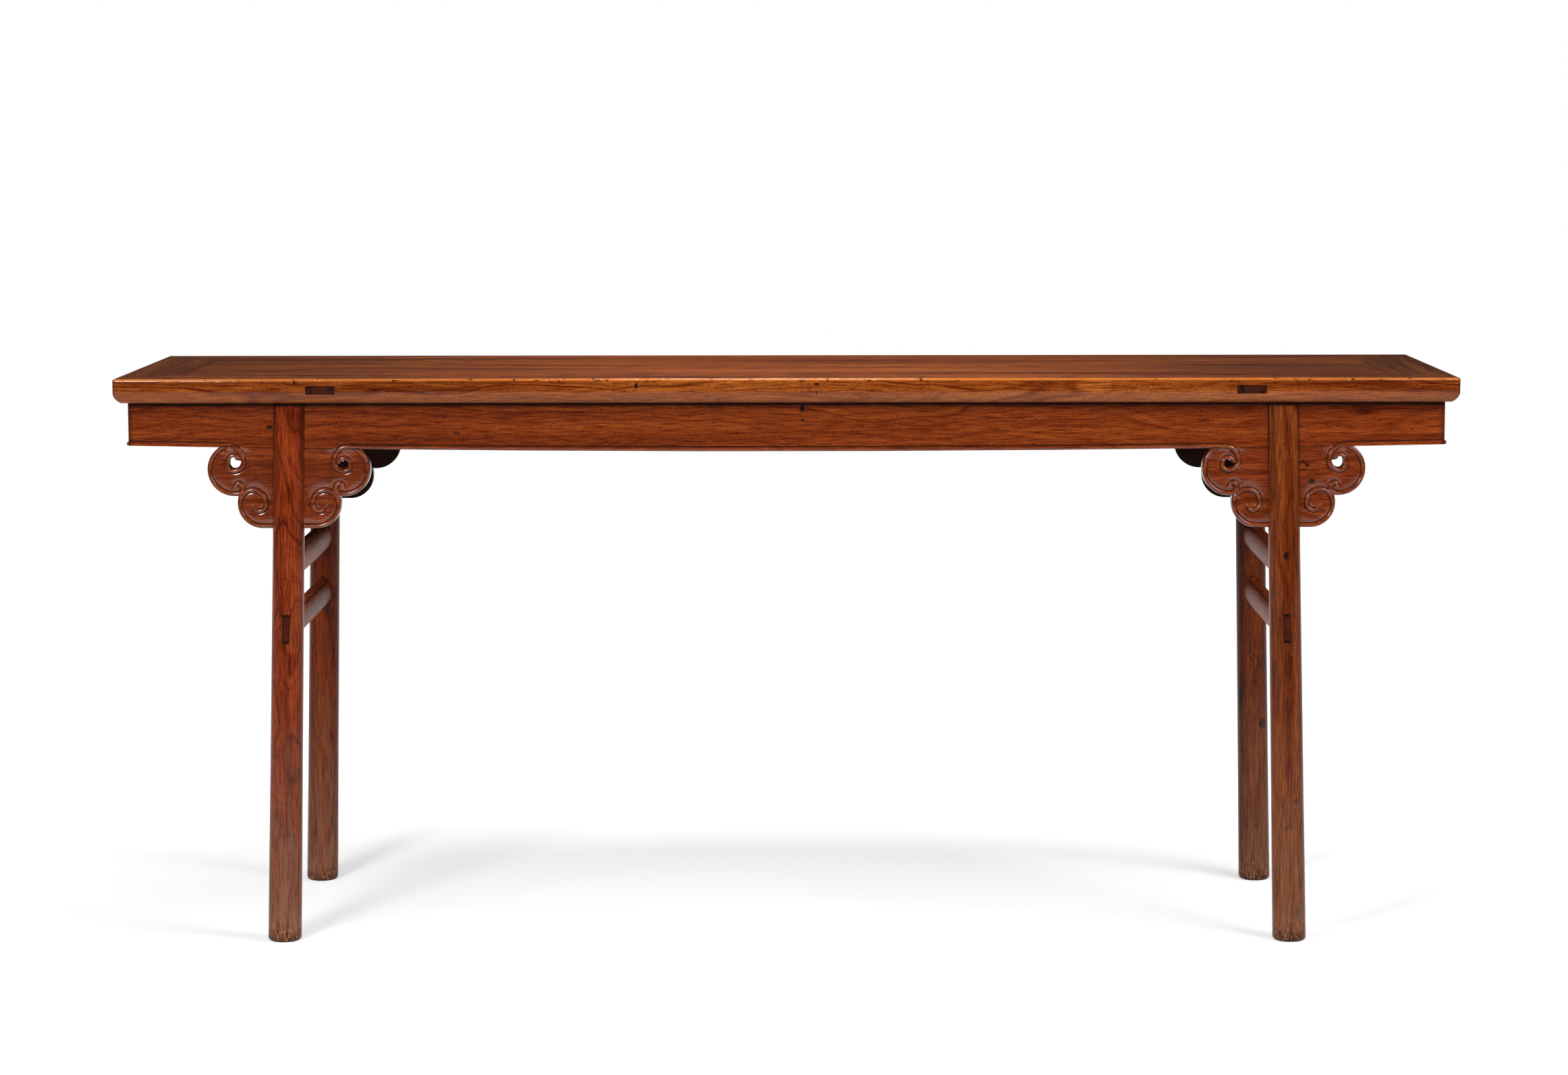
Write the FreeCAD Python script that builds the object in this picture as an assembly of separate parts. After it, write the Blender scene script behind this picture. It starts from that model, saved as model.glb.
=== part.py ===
# Painting table with recessed legs, in figured reddish-brown hardwood.
# A mitred frame holds a floating panel on dovetailed battens. Four splayed round legs are slotted at the
# head to clasp long aprons and cloud-scroll spandrels, and two oval stretchers tie the legs at each end.
# Millimetres. The origin is on the floor under the middle of the top: +X along it, +Y to the back, +Z up.

import FreeCAD, Part
import math
import os

Vec = FreeCAD.Vector

# Overall size
TOP_LENGTH = 2020.0
TOP_DEPTH = 520.0
TABLE_HEIGHT = 862.0
TOP_THICKNESS = 37.0

# Clearances of the joints
JOINT_FIT = 0.15  # gap on each cheek of a tenon, tongue or bridle
TENON_END_GAP = 1.5  # empty depth past the end of a blind tenon

# Frame of the top and its moulded edge
RAIL_WIDTH = 96.0
EDGE_ROUND = 4.0  # radius of the upper arris
UNDERCUT_HEIGHT = 19.0  # the lower part of the edge that rounds under
UNDERCUT_INSET = 11.5
CORNER_ROUND = 5.0  # plan radius of the four corners
MITRE_TENON_WIDTH = 36.0
MITRE_TENON_THICKNESS = 10.0
MITRE_TENON_SHOULDER = 18.0  # from the inner edge of the rail
MITRE_TENON_COVER = 26.0  # wood left past its end
MITRE_TENON_RISE = 8.0  # above the underside

# Floating panel
PANEL_THICKNESS = 16.0
PANEL_SEAM = 0.5  # open seam that lets the panel move
TONGUE_LENGTH = 9.0
TONGUE_THICKNESS = 5.0
TONGUE_LIP = 4.0  # rail wood above the tongue

# Battens under the panel: the outer two have wedged through tenons, the inner ones blind tenons
BATTEN_COUNT = 5
BATTEN_REACH = 698.0  # from the middle of the table to the outer battens
BATTEN_WIDTH = 40.0
BATTEN_DEPTH = 19.0  # below the panel
DOVETAIL_HEIGHT = 5.0
DOVETAIL_NECK = 24.0
DOVETAIL_FLARE = 3.0  # widening on each side
BATTEN_TENON_WIDTH = 25.0
BATTEN_TENON_THICKNESS = 12.5
BATTEN_TENON_RISE = 13.5  # above the underside of the top
BATTEN_TENON_RECESS = 1.0  # shrunk back from the moulded edge
BATTEN_BLIND_LENGTH = 32.0
WEDGE_LENGTH = 42.0
WEDGE_HEAD = 9.5
WEDGE_TIP = 6.0
WEDGE_RECESS = 0.4

# Legs
LEG_HEAD_DIAMETER = 47.0
LEG_FOOT_DIAMETER = 51.0
LEG_END_INSET = 261.3  # from the end of the top to the leg's centre at its head
LEG_SIDE_INSET = 41.0  # from the long edge of the top to the same centre
LEG_SPLAY_X = 19.5
LEG_SPLAY_Y = 11.0
FOOT_ROUND = 6.0
LEG_TENON_WIDTH = 24.0
LEG_TENON_THICKNESS = 8.0
LEG_TENON_HEIGHT = 20.0
LEG_TENON_SHOULDER = 2.0  # from the wall of the slot

# Aprons: the lower edge is one shallow arc, deepest at the middle of the table
APRON_THICKNESS = 18.0
APRON_DEPTH = 75.5
APRON_BELLY = 9.5
APRON_END_INSET = 17.0
APRON_CORNER_ROUND = 4.0
APRON_TENON_THICKNESS = 6.0
APRON_TENON_HEIGHT = 36.0
APRON_TENON_COVER = 4.0

# Cloud-scroll spandrel: each wing is two lobes, measured out from the leg's centre and up from the lower edge
SPANDREL_DROP = 191.7  # from the underside of the top to the spandrel's lower edge
LOWER_LOBE_RADIUS = 37.6
LOWER_LOBE_REACH = 78.5
UPPER_LOBE_RADIUS = 40.4
UPPER_LOBE_REACH = 123.3
UPPER_LOBE_RISE = 89.1
SEAM_TONGUE_WIDTH = 120.0
SEAM_TONGUE_THICKNESS = 5.0
SEAM_TONGUE_HEIGHT = 6.0

# Raised bead: a round cord half sunk in the face, which curls up at its ends in quarter turns
BEAD_RADIUS = 3.25
BEAD_SINK = 1.25  # depth of its centre below the face
BEAD_INSET = 3.3  # from an edge to the bead's centre line
EYE_SCROLL_REACH = 68.0  # nearest that the apron's bead comes to the leg's centre
EYE_SCROLL_RISE = 102.2
EYE_SCROLL_TURNS = (15.5, 9.0, 8.5)
EYE_SCROLL_RUNS = (6.0, 2.0)  # straight stretch before the last of them, on the outer and the inner wing
EYE_SCROLL_END = 8.0
EYE_SCROLL_END_ANGLE = 52.0
HOOK_RUN = 3.0
HOOK_TURNS = (9.7, 6.5, 4.2)
UPPER_BEAD_START = 72.0  # degrees above level, where it leaves the apron's bead
LOWER_SCROLL_TURNS = (20.5, 20.0, 12.0, 4.2)
EYE_RADIUS = 6.6  # pierced eye in the scroll: a slot with a tail towards the leg
EYE_RISE = 1.5  # of its lower centre above that of the bead's second turn
EYE_TAIL_RADIUS = 11.4
EYE_TAIL_RISE = 1.2  # of the tail's flat upper side above the slot's upper centre
EYE_CURL_SEAT = 4.0  # wood left under the bead's curled end

# Stretchers between the legs at each end
STRETCHER_HEIGHT = 46.0
STRETCHER_WIDTH = 28.0
UPPER_STRETCHER_DROP = 60.7  # from the spandrel's lower edge to the upper centre line
STRETCHER_SPACING = 91.0
STRETCHER_TENON_WIDTH = 10.5
THROUGH_TENON_HEIGHT = 41.0
BLIND_TENON_HEIGHT = 34.0
BLIND_TENON_PAST_CENTRE = 6.0

# Levels and places that follow from the sizes above
HALF_LENGTH = TOP_LENGTH / 2
HALF_DEPTH = TOP_DEPTH / 2
UNDERSIDE = TABLE_HEIGHT - TOP_THICKNESS
PANEL_HALF_LENGTH = HALF_LENGTH - RAIL_WIDTH
PANEL_HALF_DEPTH = HALF_DEPTH - RAIL_WIDTH
PANEL_UNDERSIDE = TABLE_HEIGHT - PANEL_THICKNESS
LEG_HEAD_X = HALF_LENGTH - LEG_END_INSET
LEG_HEAD_Y = HALF_DEPTH - LEG_SIDE_INSET
SPANDREL_BOTTOM = UNDERSIDE - SPANDREL_DROP
UPPER_STRETCHER_Z = SPANDREL_BOTTOM - UPPER_STRETCHER_DROP
LOWER_STRETCHER_Z = UPPER_STRETCHER_Z - STRETCHER_SPACING
APRON_HALF_LENGTH = HALF_LENGTH - APRON_END_INSET
APRON_OUTER_Y = LEG_HEAD_Y + APRON_THICKNESS / 2
APRON_INNER_Y = LEG_HEAD_Y - APRON_THICKNESS / 2
APRON_LOWEST = UNDERSIDE - APRON_DEPTH
APRON_ARC_RADIUS = (APRON_HALF_LENGTH**2 + APRON_BELLY**2) / (2 * APRON_BELLY)
APRON_ARC_CENTRE_Z = APRON_LOWEST + APRON_ARC_RADIUS
APRON_END_LOWEST = APRON_LOWEST + APRON_BELLY
BEAD_Y = -APRON_OUTER_Y + BEAD_SINK

ORIGIN = Vec(0, 0, 0)
X_AXIS = Vec(1, 0, 0)
Y_AXIS = Vec(0, 1, 0)
Z_AXIS = Vec(0, 0, 1)
OVERCUT = 5.0  # how far a cutting block runs past the wood it cuts


def block(x_range, y_range, z_range, grow=0.0):
    """Block between two corners, grown on all sides by a clearance."""
    low = Vec(x_range[0] - grow, y_range[0] - grow, z_range[0] - grow)
    size = [end - start + 2 * grow for start, end in (x_range, y_range, z_range)]
    return Part.makeBox(size[0], size[1], size[2], low)


def prism(points, push):
    """Solid from a closed outline of corners, pushed along a vector."""
    return Part.Face(Part.makePolygon([*points, points[0]])).extrude(push)


def across_x(shape):
    """The same piece at the other end of the table."""
    return shape.mirror(ORIGIN, X_AXIS)


def across_y(shape):
    """The same piece at the other long side of the table."""
    return shape.mirror(ORIGIN, Y_AXIS)


def turned_to_end(shape):
    """A piece made along the front, turned to run along the right-hand end."""
    turned = shape.copy()
    turned.rotate(ORIGIN, Z_AXIS, 90)
    return turned


def cleaned(shape):
    """A finished cut or union with its split faces joined again."""
    return shape.removeSplitter()


def mitred_bounds(half_length, half_depth, width, z_range, grow=0.0):
    """Block in front of the middle whose ends are cut at 45 degrees from the outer corners inwards."""
    outer = half_length + grow
    inner = half_length - width
    corners = [(-outer, -half_depth - grow), (outer, -half_depth - grow)]
    corners += [(inner, -half_depth + width), (-inner, -half_depth + width)]
    return prism([Vec(x, y, z_range[0]) for x, y in corners], Vec(0, 0, z_range[1] - z_range[0]))


def rounded_plan(half_length, half_depth, radius, z_range):
    """Block around the middle of the table with rounded upright corners."""
    plan = block((-half_length, half_length), (-half_depth, half_depth), z_range)
    upright = [edge for edge in plan.Edges if abs(edge.tangentAt(edge.FirstParameter).z) > 0.5]
    return plan.makeFillet(radius, upright)


def leg_centre(z):
    """Centre of the front right leg at a height."""
    share = (UNDERSIDE - z) / UNDERSIDE
    return Vec(LEG_HEAD_X + LEG_SPLAY_X * share, -LEG_HEAD_Y - LEG_SPLAY_Y * share, z)


def leg_radius(z):
    """Radius of a leg at a height."""
    share = (UNDERSIDE - z) / UNDERSIDE
    return (LEG_HEAD_DIAMETER + (LEG_FOOT_DIAMETER - LEG_HEAD_DIAMETER) * share) / 2


def edge_moulding(half, side, x):
    """Edges of the moulded outline on one side of a cross-section, from the underside up to the top."""
    radius = (UNDERCUT_HEIGHT**2 + UNDERCUT_INSET**2) / (2 * UNDERCUT_INSET)
    half_sweep = math.asin(UNDERCUT_HEIGHT / radius) / 2
    swell_inset = radius * (1 - math.cos(half_sweep))
    swell_z = UNDERSIDE + UNDERCUT_HEIGHT - radius * math.sin(half_sweep)
    arris_inset = EDGE_ROUND * (1 - math.sqrt(0.5))
    low = Vec(x, side * (half - UNDERCUT_INSET), UNDERSIDE)
    swell = Vec(x, side * (half - swell_inset), swell_z)
    upright = Vec(x, side * half, UNDERSIDE + UNDERCUT_HEIGHT)
    arris_foot = Vec(x, side * half, TABLE_HEIGHT - EDGE_ROUND)
    arris_middle = Vec(x, side * (half - arris_inset), TABLE_HEIGHT - arris_inset)
    arris_top = Vec(x, side * (half - EDGE_ROUND), TABLE_HEIGHT)
    undercut = Part.Arc(low, swell, upright).toShape()
    arris = Part.Arc(arris_foot, arris_middle, arris_top).toShape()
    return low, arris_top, [undercut, Part.makeLine(upright, arris_foot), arris]


def moulded_slab():
    """The whole top as one slab: its edge is upright above and rounds under below."""
    slab = rounded_plan(HALF_LENGTH, HALF_DEPTH, CORNER_ROUND, (UNDERSIDE, TABLE_HEIGHT))
    for half, run, turn in ((HALF_DEPTH, HALF_LENGTH, 0), (HALF_LENGTH, HALF_DEPTH, 90)):
        left_low, left_top, left = edge_moulding(half, -1, -run)
        right_low, right_top, right = edge_moulding(half, 1, -run)
        underside = Part.makeLine(left_low, right_low)
        top = Part.makeLine(right_top, left_top)
        outline = Part.Wire([underside, *right, top, *reversed(left)])
        length = Part.Face(outline).extrude(Vec(2 * run, 0, 0))
        length.rotate(ORIGIN, Z_AXIS, turn)
        slab = slab.common(length)
    return slab


def tongue_slab(grow):
    """Space of the panel's tongue all round, grown by the clearance of its groove."""
    top = TABLE_HEIGHT - TONGUE_LIP
    half_length = PANEL_HALF_LENGTH + TONGUE_LENGTH
    half_depth = PANEL_HALF_DEPTH + TONGUE_LENGTH
    z_range = (top - TONGUE_THICKNESS, top)
    return block((-half_length, half_length), (-half_depth, half_depth), z_range, grow)


def mitre_tenon(grow):
    """Tenon at the front right corner, from the long rail into the end rail."""
    y_inner = -PANEL_HALF_DEPTH - MITRE_TENON_SHOULDER
    z_low = UNDERSIDE + MITRE_TENON_RISE
    end_gap = TENON_END_GAP if grow else 0.0
    x_range = (PANEL_HALF_LENGTH, HALF_LENGTH - MITRE_TENON_COVER + end_gap)
    y_range = (y_inner - MITRE_TENON_WIDTH, y_inner)
    return block(x_range, y_range, (z_low, z_low + MITRE_TENON_THICKNESS), grow)


def batten_places():
    """Distance along the table of each batten, and whether its tenons go right through the rails."""
    step = 2 * BATTEN_REACH / (BATTEN_COUNT - 1)
    return [(-BATTEN_REACH + step * n, n in (0, BATTEN_COUNT - 1)) for n in range(BATTEN_COUNT)]


def batten_tenons(x, through, grow):
    """The tenons at both ends of a batten."""
    end_gap = TENON_END_GAP if grow else 0.0
    reach = HALF_DEPTH - BATTEN_TENON_RECESS if through else PANEL_HALF_DEPTH + BATTEN_BLIND_LENGTH
    half = BATTEN_TENON_WIDTH / 2
    z_low = UNDERSIDE + BATTEN_TENON_RISE
    y_range = (-reach - end_gap, -PANEL_HALF_DEPTH)
    front = block((x - half, x + half), y_range, (z_low, z_low + BATTEN_TENON_THICKNESS), grow)
    return [front, across_y(front)]


def wedge(x, side, recess, grow):
    """Wedge beside a through tenon in the front edge, or with a clearance the space for it."""
    near = BATTEN_TENON_WIDTH / 2 + JOINT_FIT - grow
    taper = (WEDGE_HEAD - WEDGE_TIP) / WEDGE_LENGTH
    head = near + WEDGE_HEAD - taper * recess + 2 * grow
    tip = near + WEDGE_TIP + 2 * grow
    head_y = -HALF_DEPTH + recess
    tip_y = -HALF_DEPTH + WEDGE_LENGTH
    z_low = UNDERSIDE + BATTEN_TENON_RISE - grow
    plan = [(near, head_y), (head, head_y), (tip, tip_y), (near, tip_y)]
    outline = [Vec(x + side * out, y, z_low) for out, y in plan]
    return prism(outline, Vec(0, 0, BATTEN_TENON_THICKNESS + 2 * grow))


def leg_tenons(grow):
    """The two tenons on the head of the front right leg, one on each prong beside the slot."""
    end_gap = TENON_END_GAP if grow else 0.0
    near = APRON_THICKNESS / 2 + LEG_TENON_SHOULDER
    far = near + LEG_TENON_THICKNESS
    x_range = (LEG_HEAD_X - LEG_TENON_WIDTH / 2, LEG_HEAD_X + LEG_TENON_WIDTH / 2)
    z_range = (UNDERSIDE - LEG_TENON_SHOULDER, UNDERSIDE + LEG_TENON_HEIGHT + end_gap)
    front = block(x_range, (-LEG_HEAD_Y - far, -LEG_HEAD_Y - near), z_range, grow)
    back = block(x_range, (-LEG_HEAD_Y + near, -LEG_HEAD_Y + far), z_range, grow)
    return [front, back]


def front_rail(slab):
    """Long front rail of the top, with tenons at its mitres and mortises for battens and legs."""
    levels = (UNDERSIDE, TABLE_HEIGHT)
    rail = slab.common(mitred_bounds(HALF_LENGTH, HALF_DEPTH, RAIL_WIDTH, levels))
    tenon = mitre_tenon(0.0)
    rail = rail.multiFuse([tenon, across_x(tenon)])
    cuts = [tongue_slab(JOINT_FIT)]
    for x, through in batten_places():
        cuts += batten_tenons(x, through, JOINT_FIT)
        if through:
            cuts += [wedge(x, side, -OVERCUT, JOINT_FIT) for side in (-1, 1)]
    for mortise in leg_tenons(JOINT_FIT):
        cuts += [mortise, across_x(mortise)]
    return cleaned(rail.cut(cuts))


def right_end_rail(slab):
    """Short rail at the right-hand end, mortised for the tenons of the long rails."""
    bounds = turned_to_end(mitred_bounds(HALF_DEPTH, HALF_LENGTH, RAIL_WIDTH, (UNDERSIDE, TABLE_HEIGHT)))
    mortise = mitre_tenon(JOINT_FIT)
    return cleaned(slab.common(bounds).cut([tongue_slab(JOINT_FIT), mortise, across_y(mortise)]))


def dovetail(x, half_length, grow):
    """Dovetailed ridge along the top of a batten."""
    neck = DOVETAIL_NECK / 2 + grow
    top = neck + DOVETAIL_FLARE
    levels = (PANEL_UNDERSIDE - grow, PANEL_UNDERSIDE + DOVETAIL_HEIGHT + grow)
    corners = [(x - neck, levels[0]), (x + neck, levels[0]), (x + top, levels[1]), (x - top, levels[1])]
    return prism([Vec(cx, -half_length, cz) for cx, cz in corners], Vec(0, 2 * half_length, 0))


def panel():
    """Floating panel, tongued all round and housed below for the battens."""
    half_length = PANEL_HALF_LENGTH - PANEL_SEAM
    half_depth = PANEL_HALF_DEPTH - PANEL_SEAM
    levels = (PANEL_UNDERSIDE, TABLE_HEIGHT)
    board = block((-half_length, half_length), (-half_depth, half_depth), levels).fuse(tongue_slab(0.0))
    length = PANEL_HALF_DEPTH + TONGUE_LENGTH + OVERCUT
    return cleaned(board.cut([dovetail(x, length, JOINT_FIT) for x, _ in batten_places()]))


def batten(x, through):
    """Batten across the underside of the panel, tenoned into both long rails."""
    half = BATTEN_WIDTH / 2
    levels = (PANEL_UNDERSIDE - BATTEN_DEPTH, PANEL_UNDERSIDE)
    bar = block((x - half, x + half), (-PANEL_HALF_DEPTH, PANEL_HALF_DEPTH), levels)
    return cleaned(bar.multiFuse([dovetail(x, PANEL_HALF_DEPTH, 0.0), *batten_tenons(x, through, 0.0)]))


def batten_wedges():
    """All wedges of the through tenons, as separate solids."""
    wedges = []
    for x, through in batten_places():
        if through:
            wedges += [wedge(x, side, WEDGE_RECESS, 0.0) for side in (-1, 1)]
    return Part.makeCompound(wedges + [across_y(piece) for piece in wedges])


def leg_post():
    """Front right leg before its joints: a tapered round that leans outwards to the foot."""
    foot = leg_centre(-OVERCUT)
    head = leg_centre(UNDERSIDE + OVERCUT)
    lean = head.sub(foot)
    cone = Part.makeCone(leg_radius(-OVERCUT), leg_radius(UNDERSIDE + OVERCUT), lean.Length, foot, lean)
    middle = leg_centre(UNDERSIDE / 2)
    half = LEG_FOOT_DIAMETER + LEG_SPLAY_X + LEG_SPLAY_Y
    between = block((middle.x - half, middle.x + half), (middle.y - half, middle.y + half), (0, UNDERSIDE))
    post = cone.common(between)
    rim = [edge for edge in post.Edges if edge.BoundBox.ZMax < FOOT_ROUND / 2]
    return post.makeFillet(FOOT_ROUND, rim)


def stretcher_tenon(z, through, grow):
    """Block that makes the tenons at both ends of a right-hand stretcher."""
    centre = leg_centre(z)
    height = THROUGH_TENON_HEIGHT if through else BLIND_TENON_HEIGHT
    half = STRETCHER_TENON_WIDTH / 2
    if through:
        reach = -centre.y + math.sqrt(leg_radius(z) ** 2 - half**2)
    else:
        reach = -centre.y + BLIND_TENON_PAST_CENTRE
    run_out = OVERCUT if through else TENON_END_GAP
    reach += run_out if grow else 0.0
    z_range = (z - height / 2, z + height / 2)
    return block((centre.x - half, centre.x + half), (-reach, reach), z_range, grow)


def stretcher(z, through, post):
    """Oval right-hand stretcher, its shoulders scribed to the round legs."""
    centre = leg_centre(z)
    oval = Part.Wire(Part.Ellipse(ORIGIN, STRETCHER_HEIGHT / 2, STRETCHER_WIDTH / 2).toShape())
    oval.rotate(ORIGIN, Vec(1, 1, 1), 240)  # height up, width along X, ready to be pushed along Y
    oval.translate(centre)
    bar = Part.Face(oval).extrude(Vec(0, -2 * centre.y, 0))
    return cleaned(bar.cut([post, across_y(post)]).fuse(stretcher_tenon(z, through, 0.0)))


def leg(post):
    """Front right leg: slotted at the head for apron and spandrel, with two tenons up into the rail."""
    half = LEG_FOOT_DIAMETER
    slot_x = (LEG_HEAD_X - half, LEG_HEAD_X + half)
    slot_y = (-APRON_OUTER_Y - JOINT_FIT, -APRON_INNER_Y + JOINT_FIT)
    slot = block(slot_x, slot_y, (SPANDREL_BOTTOM, UNDERSIDE + OVERCUT))
    upper_mortise = stretcher_tenon(UPPER_STRETCHER_Z, False, JOINT_FIT)
    lower_mortise = stretcher_tenon(LOWER_STRETCHER_Z, True, JOINT_FIT)
    return cleaned(post.cut([slot, upper_mortise, lower_mortise]).multiFuse(leg_tenons(0.0)))


def apron_edge_z(x):
    """Height of the aprons' lower edge at a distance along the table."""
    return APRON_ARC_CENTRE_Z - math.sqrt(APRON_ARC_RADIUS**2 - x**2)


def above_apron_edge(half_length, y_range):
    """Everything above the aprons' shallow lower arc, up to the underside of the top."""
    left = Vec(-half_length, y_range[0], apron_edge_z(half_length))
    right = Vec(half_length, y_range[0], apron_edge_z(half_length))
    top_left = Vec(-half_length, y_range[0], UNDERSIDE)
    top_right = Vec(half_length, y_range[0], UNDERSIDE)
    arc = Part.Arc(left, Vec(0, y_range[0], APRON_LOWEST), right).toShape()
    sides = Part.makePolygon([right, top_right, top_left, left]).Edges
    return Part.Face(Part.Wire([arc, *sides])).extrude(Vec(0, y_range[1] - y_range[0], 0))


class Bead:
    """A round bead drawn along the front face: it runs straight or in arcs, then ends in a ball."""

    def __init__(self, x, z, heading):
        self.place = Vec(x, BEAD_Y, z)
        self.heading = math.radians(heading)
        self.pieces = []

    def direction(self):
        return Vec(math.cos(self.heading), 0, math.sin(self.heading))

    def section(self):
        return Part.Face(Part.Wire(Part.makeCircle(BEAD_RADIUS, self.place, self.direction())))

    def run(self, length):
        push = self.direction() * length
        self.pieces.append(self.section().extrude(push))
        self.place = self.place.add(push)

    def turn(self, radius, degrees):
        """Arc to the left of the heading, seen from the front, or to the right for a negative angle."""
        side = math.copysign(1, degrees)
        towards = self.heading + side * math.pi / 2
        centre = self.place.add(Vec(math.cos(towards), 0, math.sin(towards)) * radius)
        self.pieces.append(self.section().revolve(centre, Vec(0, -1, 0), degrees))
        self.heading += math.radians(degrees)
        back = self.heading + side * math.pi / 2
        self.place = centre.sub(Vec(math.cos(back), 0, math.sin(back)) * radius)

    def ball(self):
        self.pieces.append(Part.makeSphere(BEAD_RADIUS, self.place))

    def solid(self):
        return self.pieces[0].multiFuse(self.pieces[1:])


def wing_place(side, out, up):
    """Place on the front face from a distance out from the leg and up from the spandrel's lower edge."""
    middle = leg_centre(SPANDREL_BOTTOM + SPANDREL_DROP / 2)
    return Vec(middle.x + side * out, -APRON_OUTER_Y, SPANDREL_BOTTOM + up)


def disc(side, out, up, radius):
    """Round block through the thickness of a wing."""
    return Part.makeCylinder(radius, APRON_THICKNESS, wing_place(side, out, up), Y_AXIS)


def eye_run(side):
    """Straight stretch of the bead beside the eye, longer on the outer wing."""
    outer, inner = EYE_SCROLL_RUNS
    return outer if side > 0 else inner


def eye_scroll(side, far_x):
    """Bead along the apron's lower edge from far_x, which turns down into a wing and curls round its eye."""
    near = wing_place(side, EYE_SCROLL_REACH, EYE_SCROLL_RISE)
    along = APRON_ARC_RADIUS - BEAD_INSET
    rise = APRON_ARC_CENTRE_Z - near.z
    first_turn = (near.x**2 + rise**2 - along**2) / (2 * (along - side * near.x))
    centre_x = near.x + side * first_turn
    touch = math.degrees(math.asin(centre_x / (along + first_turn)))
    start = math.degrees(math.asin(far_x / along))
    start_z = APRON_ARC_CENTRE_Z - along * math.cos(math.radians(start))
    bead = Bead(far_x, start_z, start + (180 if side > 0 else 0))
    bead.turn(along, touch - start)
    bead.turn(first_turn, side * (90 - side * touch))
    down_turn, under_turn, over_turn = EYE_SCROLL_TURNS
    bead.turn(down_turn, side * 90)
    bead.turn(under_turn, side * 90)
    bead.run(eye_run(side))
    bead.turn(over_turn, side * 90)
    bead.turn(EYE_SCROLL_END, side * EYE_SCROLL_END_ANGLE)
    bead.ball()
    return bead.solid()


def upper_bead(side):
    """Bead round the upper lobe, which hooks back up at the notch between the lobes."""
    out = UPPER_LOBE_REACH - UPPER_LOBE_RADIUS
    radius = UPPER_LOBE_RADIUS - BEAD_INSET
    angle = math.radians(UPPER_BEAD_START)
    start = wing_place(side, out + radius * math.cos(angle), UPPER_LOBE_RISE + radius * math.sin(angle))
    bead = Bead(start.x, start.z, UPPER_BEAD_START - 90 if side > 0 else 270 - UPPER_BEAD_START)
    bead.turn(radius, -side * (90 + UPPER_BEAD_START))
    bead.run(HOOK_RUN)
    for hook in HOOK_TURNS:
        bead.turn(hook, -side * 90)
    bead.ball()
    return bead.solid()


def lower_bead(side):
    """Bead from the leg round the lower lobe, which curls inwards over the top."""
    out = LOWER_LOBE_REACH - LOWER_LOBE_RADIUS
    start = wing_place(side, 0, BEAD_INSET)
    bead = Bead(start.x, start.z, 0 if side > 0 else 180)
    bead.run(out)
    bead.turn(LOWER_LOBE_RADIUS - BEAD_INSET, side * 90)
    for radius in LOWER_SCROLL_TURNS:
        bead.turn(radius, side * 90)
    bead.ball()
    return bead.solid()


def eye(side):
    """Pierced eye inside the scroll: a slot with a tail towards the leg, clear of the bead's curled end."""
    down_turn, under_turn, over_turn = EYE_SCROLL_TURNS
    out = EYE_SCROLL_REACH + down_turn
    turn_up = EYE_SCROLL_RISE - down_turn + under_turn
    low = turn_up + EYE_RISE
    high = low + eye_run(side) - min(EYE_SCROLL_RUNS)
    slot = disc(side, out, low, EYE_RADIUS)
    if high > low:
        slot = slot.fuse(disc(side, out, high, EYE_RADIUS))
    corner = wing_place(side, out, high + EYE_TAIL_RISE)
    x_range = sorted((corner.x, corner.x - side * 2 * EYE_TAIL_RADIUS))
    half = block(x_range, (-APRON_OUTER_Y, -APRON_INNER_Y), (corner.z - 2 * EYE_TAIL_RADIUS, corner.z))
    tail = disc(side, out, EYE_SCROLL_RISE, EYE_TAIL_RADIUS).common(half)
    angle = math.radians(EYE_SCROLL_END_ANGLE)
    curl_out = out + under_turn - over_turn - EYE_SCROLL_END * math.sin(angle)
    curl_up = turn_up + eye_run(side) + over_turn - EYE_SCROLL_END * (1 - math.cos(angle))
    return slot.fuse(tail).cut(disc(side, curl_out, curl_up, EYE_CURL_SEAT))


def wing_board(side):
    """Outline of one wing: two overlapping lobes and the wood between them and the leg."""
    low_out = LOWER_LOBE_REACH - LOWER_LOBE_RADIUS
    up_out = UPPER_LOBE_REACH - UPPER_LOBE_RADIUS
    corners = [(0, 0), (low_out, 0), (low_out, LOWER_LOBE_RADIUS), (up_out, UPPER_LOBE_RISE)]
    corners += [(up_out, SPANDREL_DROP), (0, SPANDREL_DROP)]
    web = prism([wing_place(side, out, up) for out, up in corners], Vec(0, APRON_THICKNESS, 0))
    lower = disc(side, low_out, LOWER_LOBE_RADIUS, LOWER_LOBE_RADIUS)
    upper = disc(side, up_out, UPPER_LOBE_RISE, UPPER_LOBE_RADIUS)
    return web.multiFuse([lower, upper])


def seam_tongue(grow):
    """Hidden tongue on the front right spandrel, which locates it in the apron above."""
    middle = wing_place(1, 0, 0).x
    half_y = SEAM_TONGUE_THICKNESS / 2
    end_gap = TENON_END_GAP if grow else 0.0
    seam = apron_edge_z(middle)
    x_range = (middle - SEAM_TONGUE_WIDTH / 2, middle + SEAM_TONGUE_WIDTH / 2)
    z_range = (seam - SEAM_TONGUE_HEIGHT, seam + SEAM_TONGUE_HEIGHT + end_gap)
    return block(x_range, (-LEG_HEAD_Y - half_y, -LEG_HEAD_Y + half_y), z_range, grow)


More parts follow.
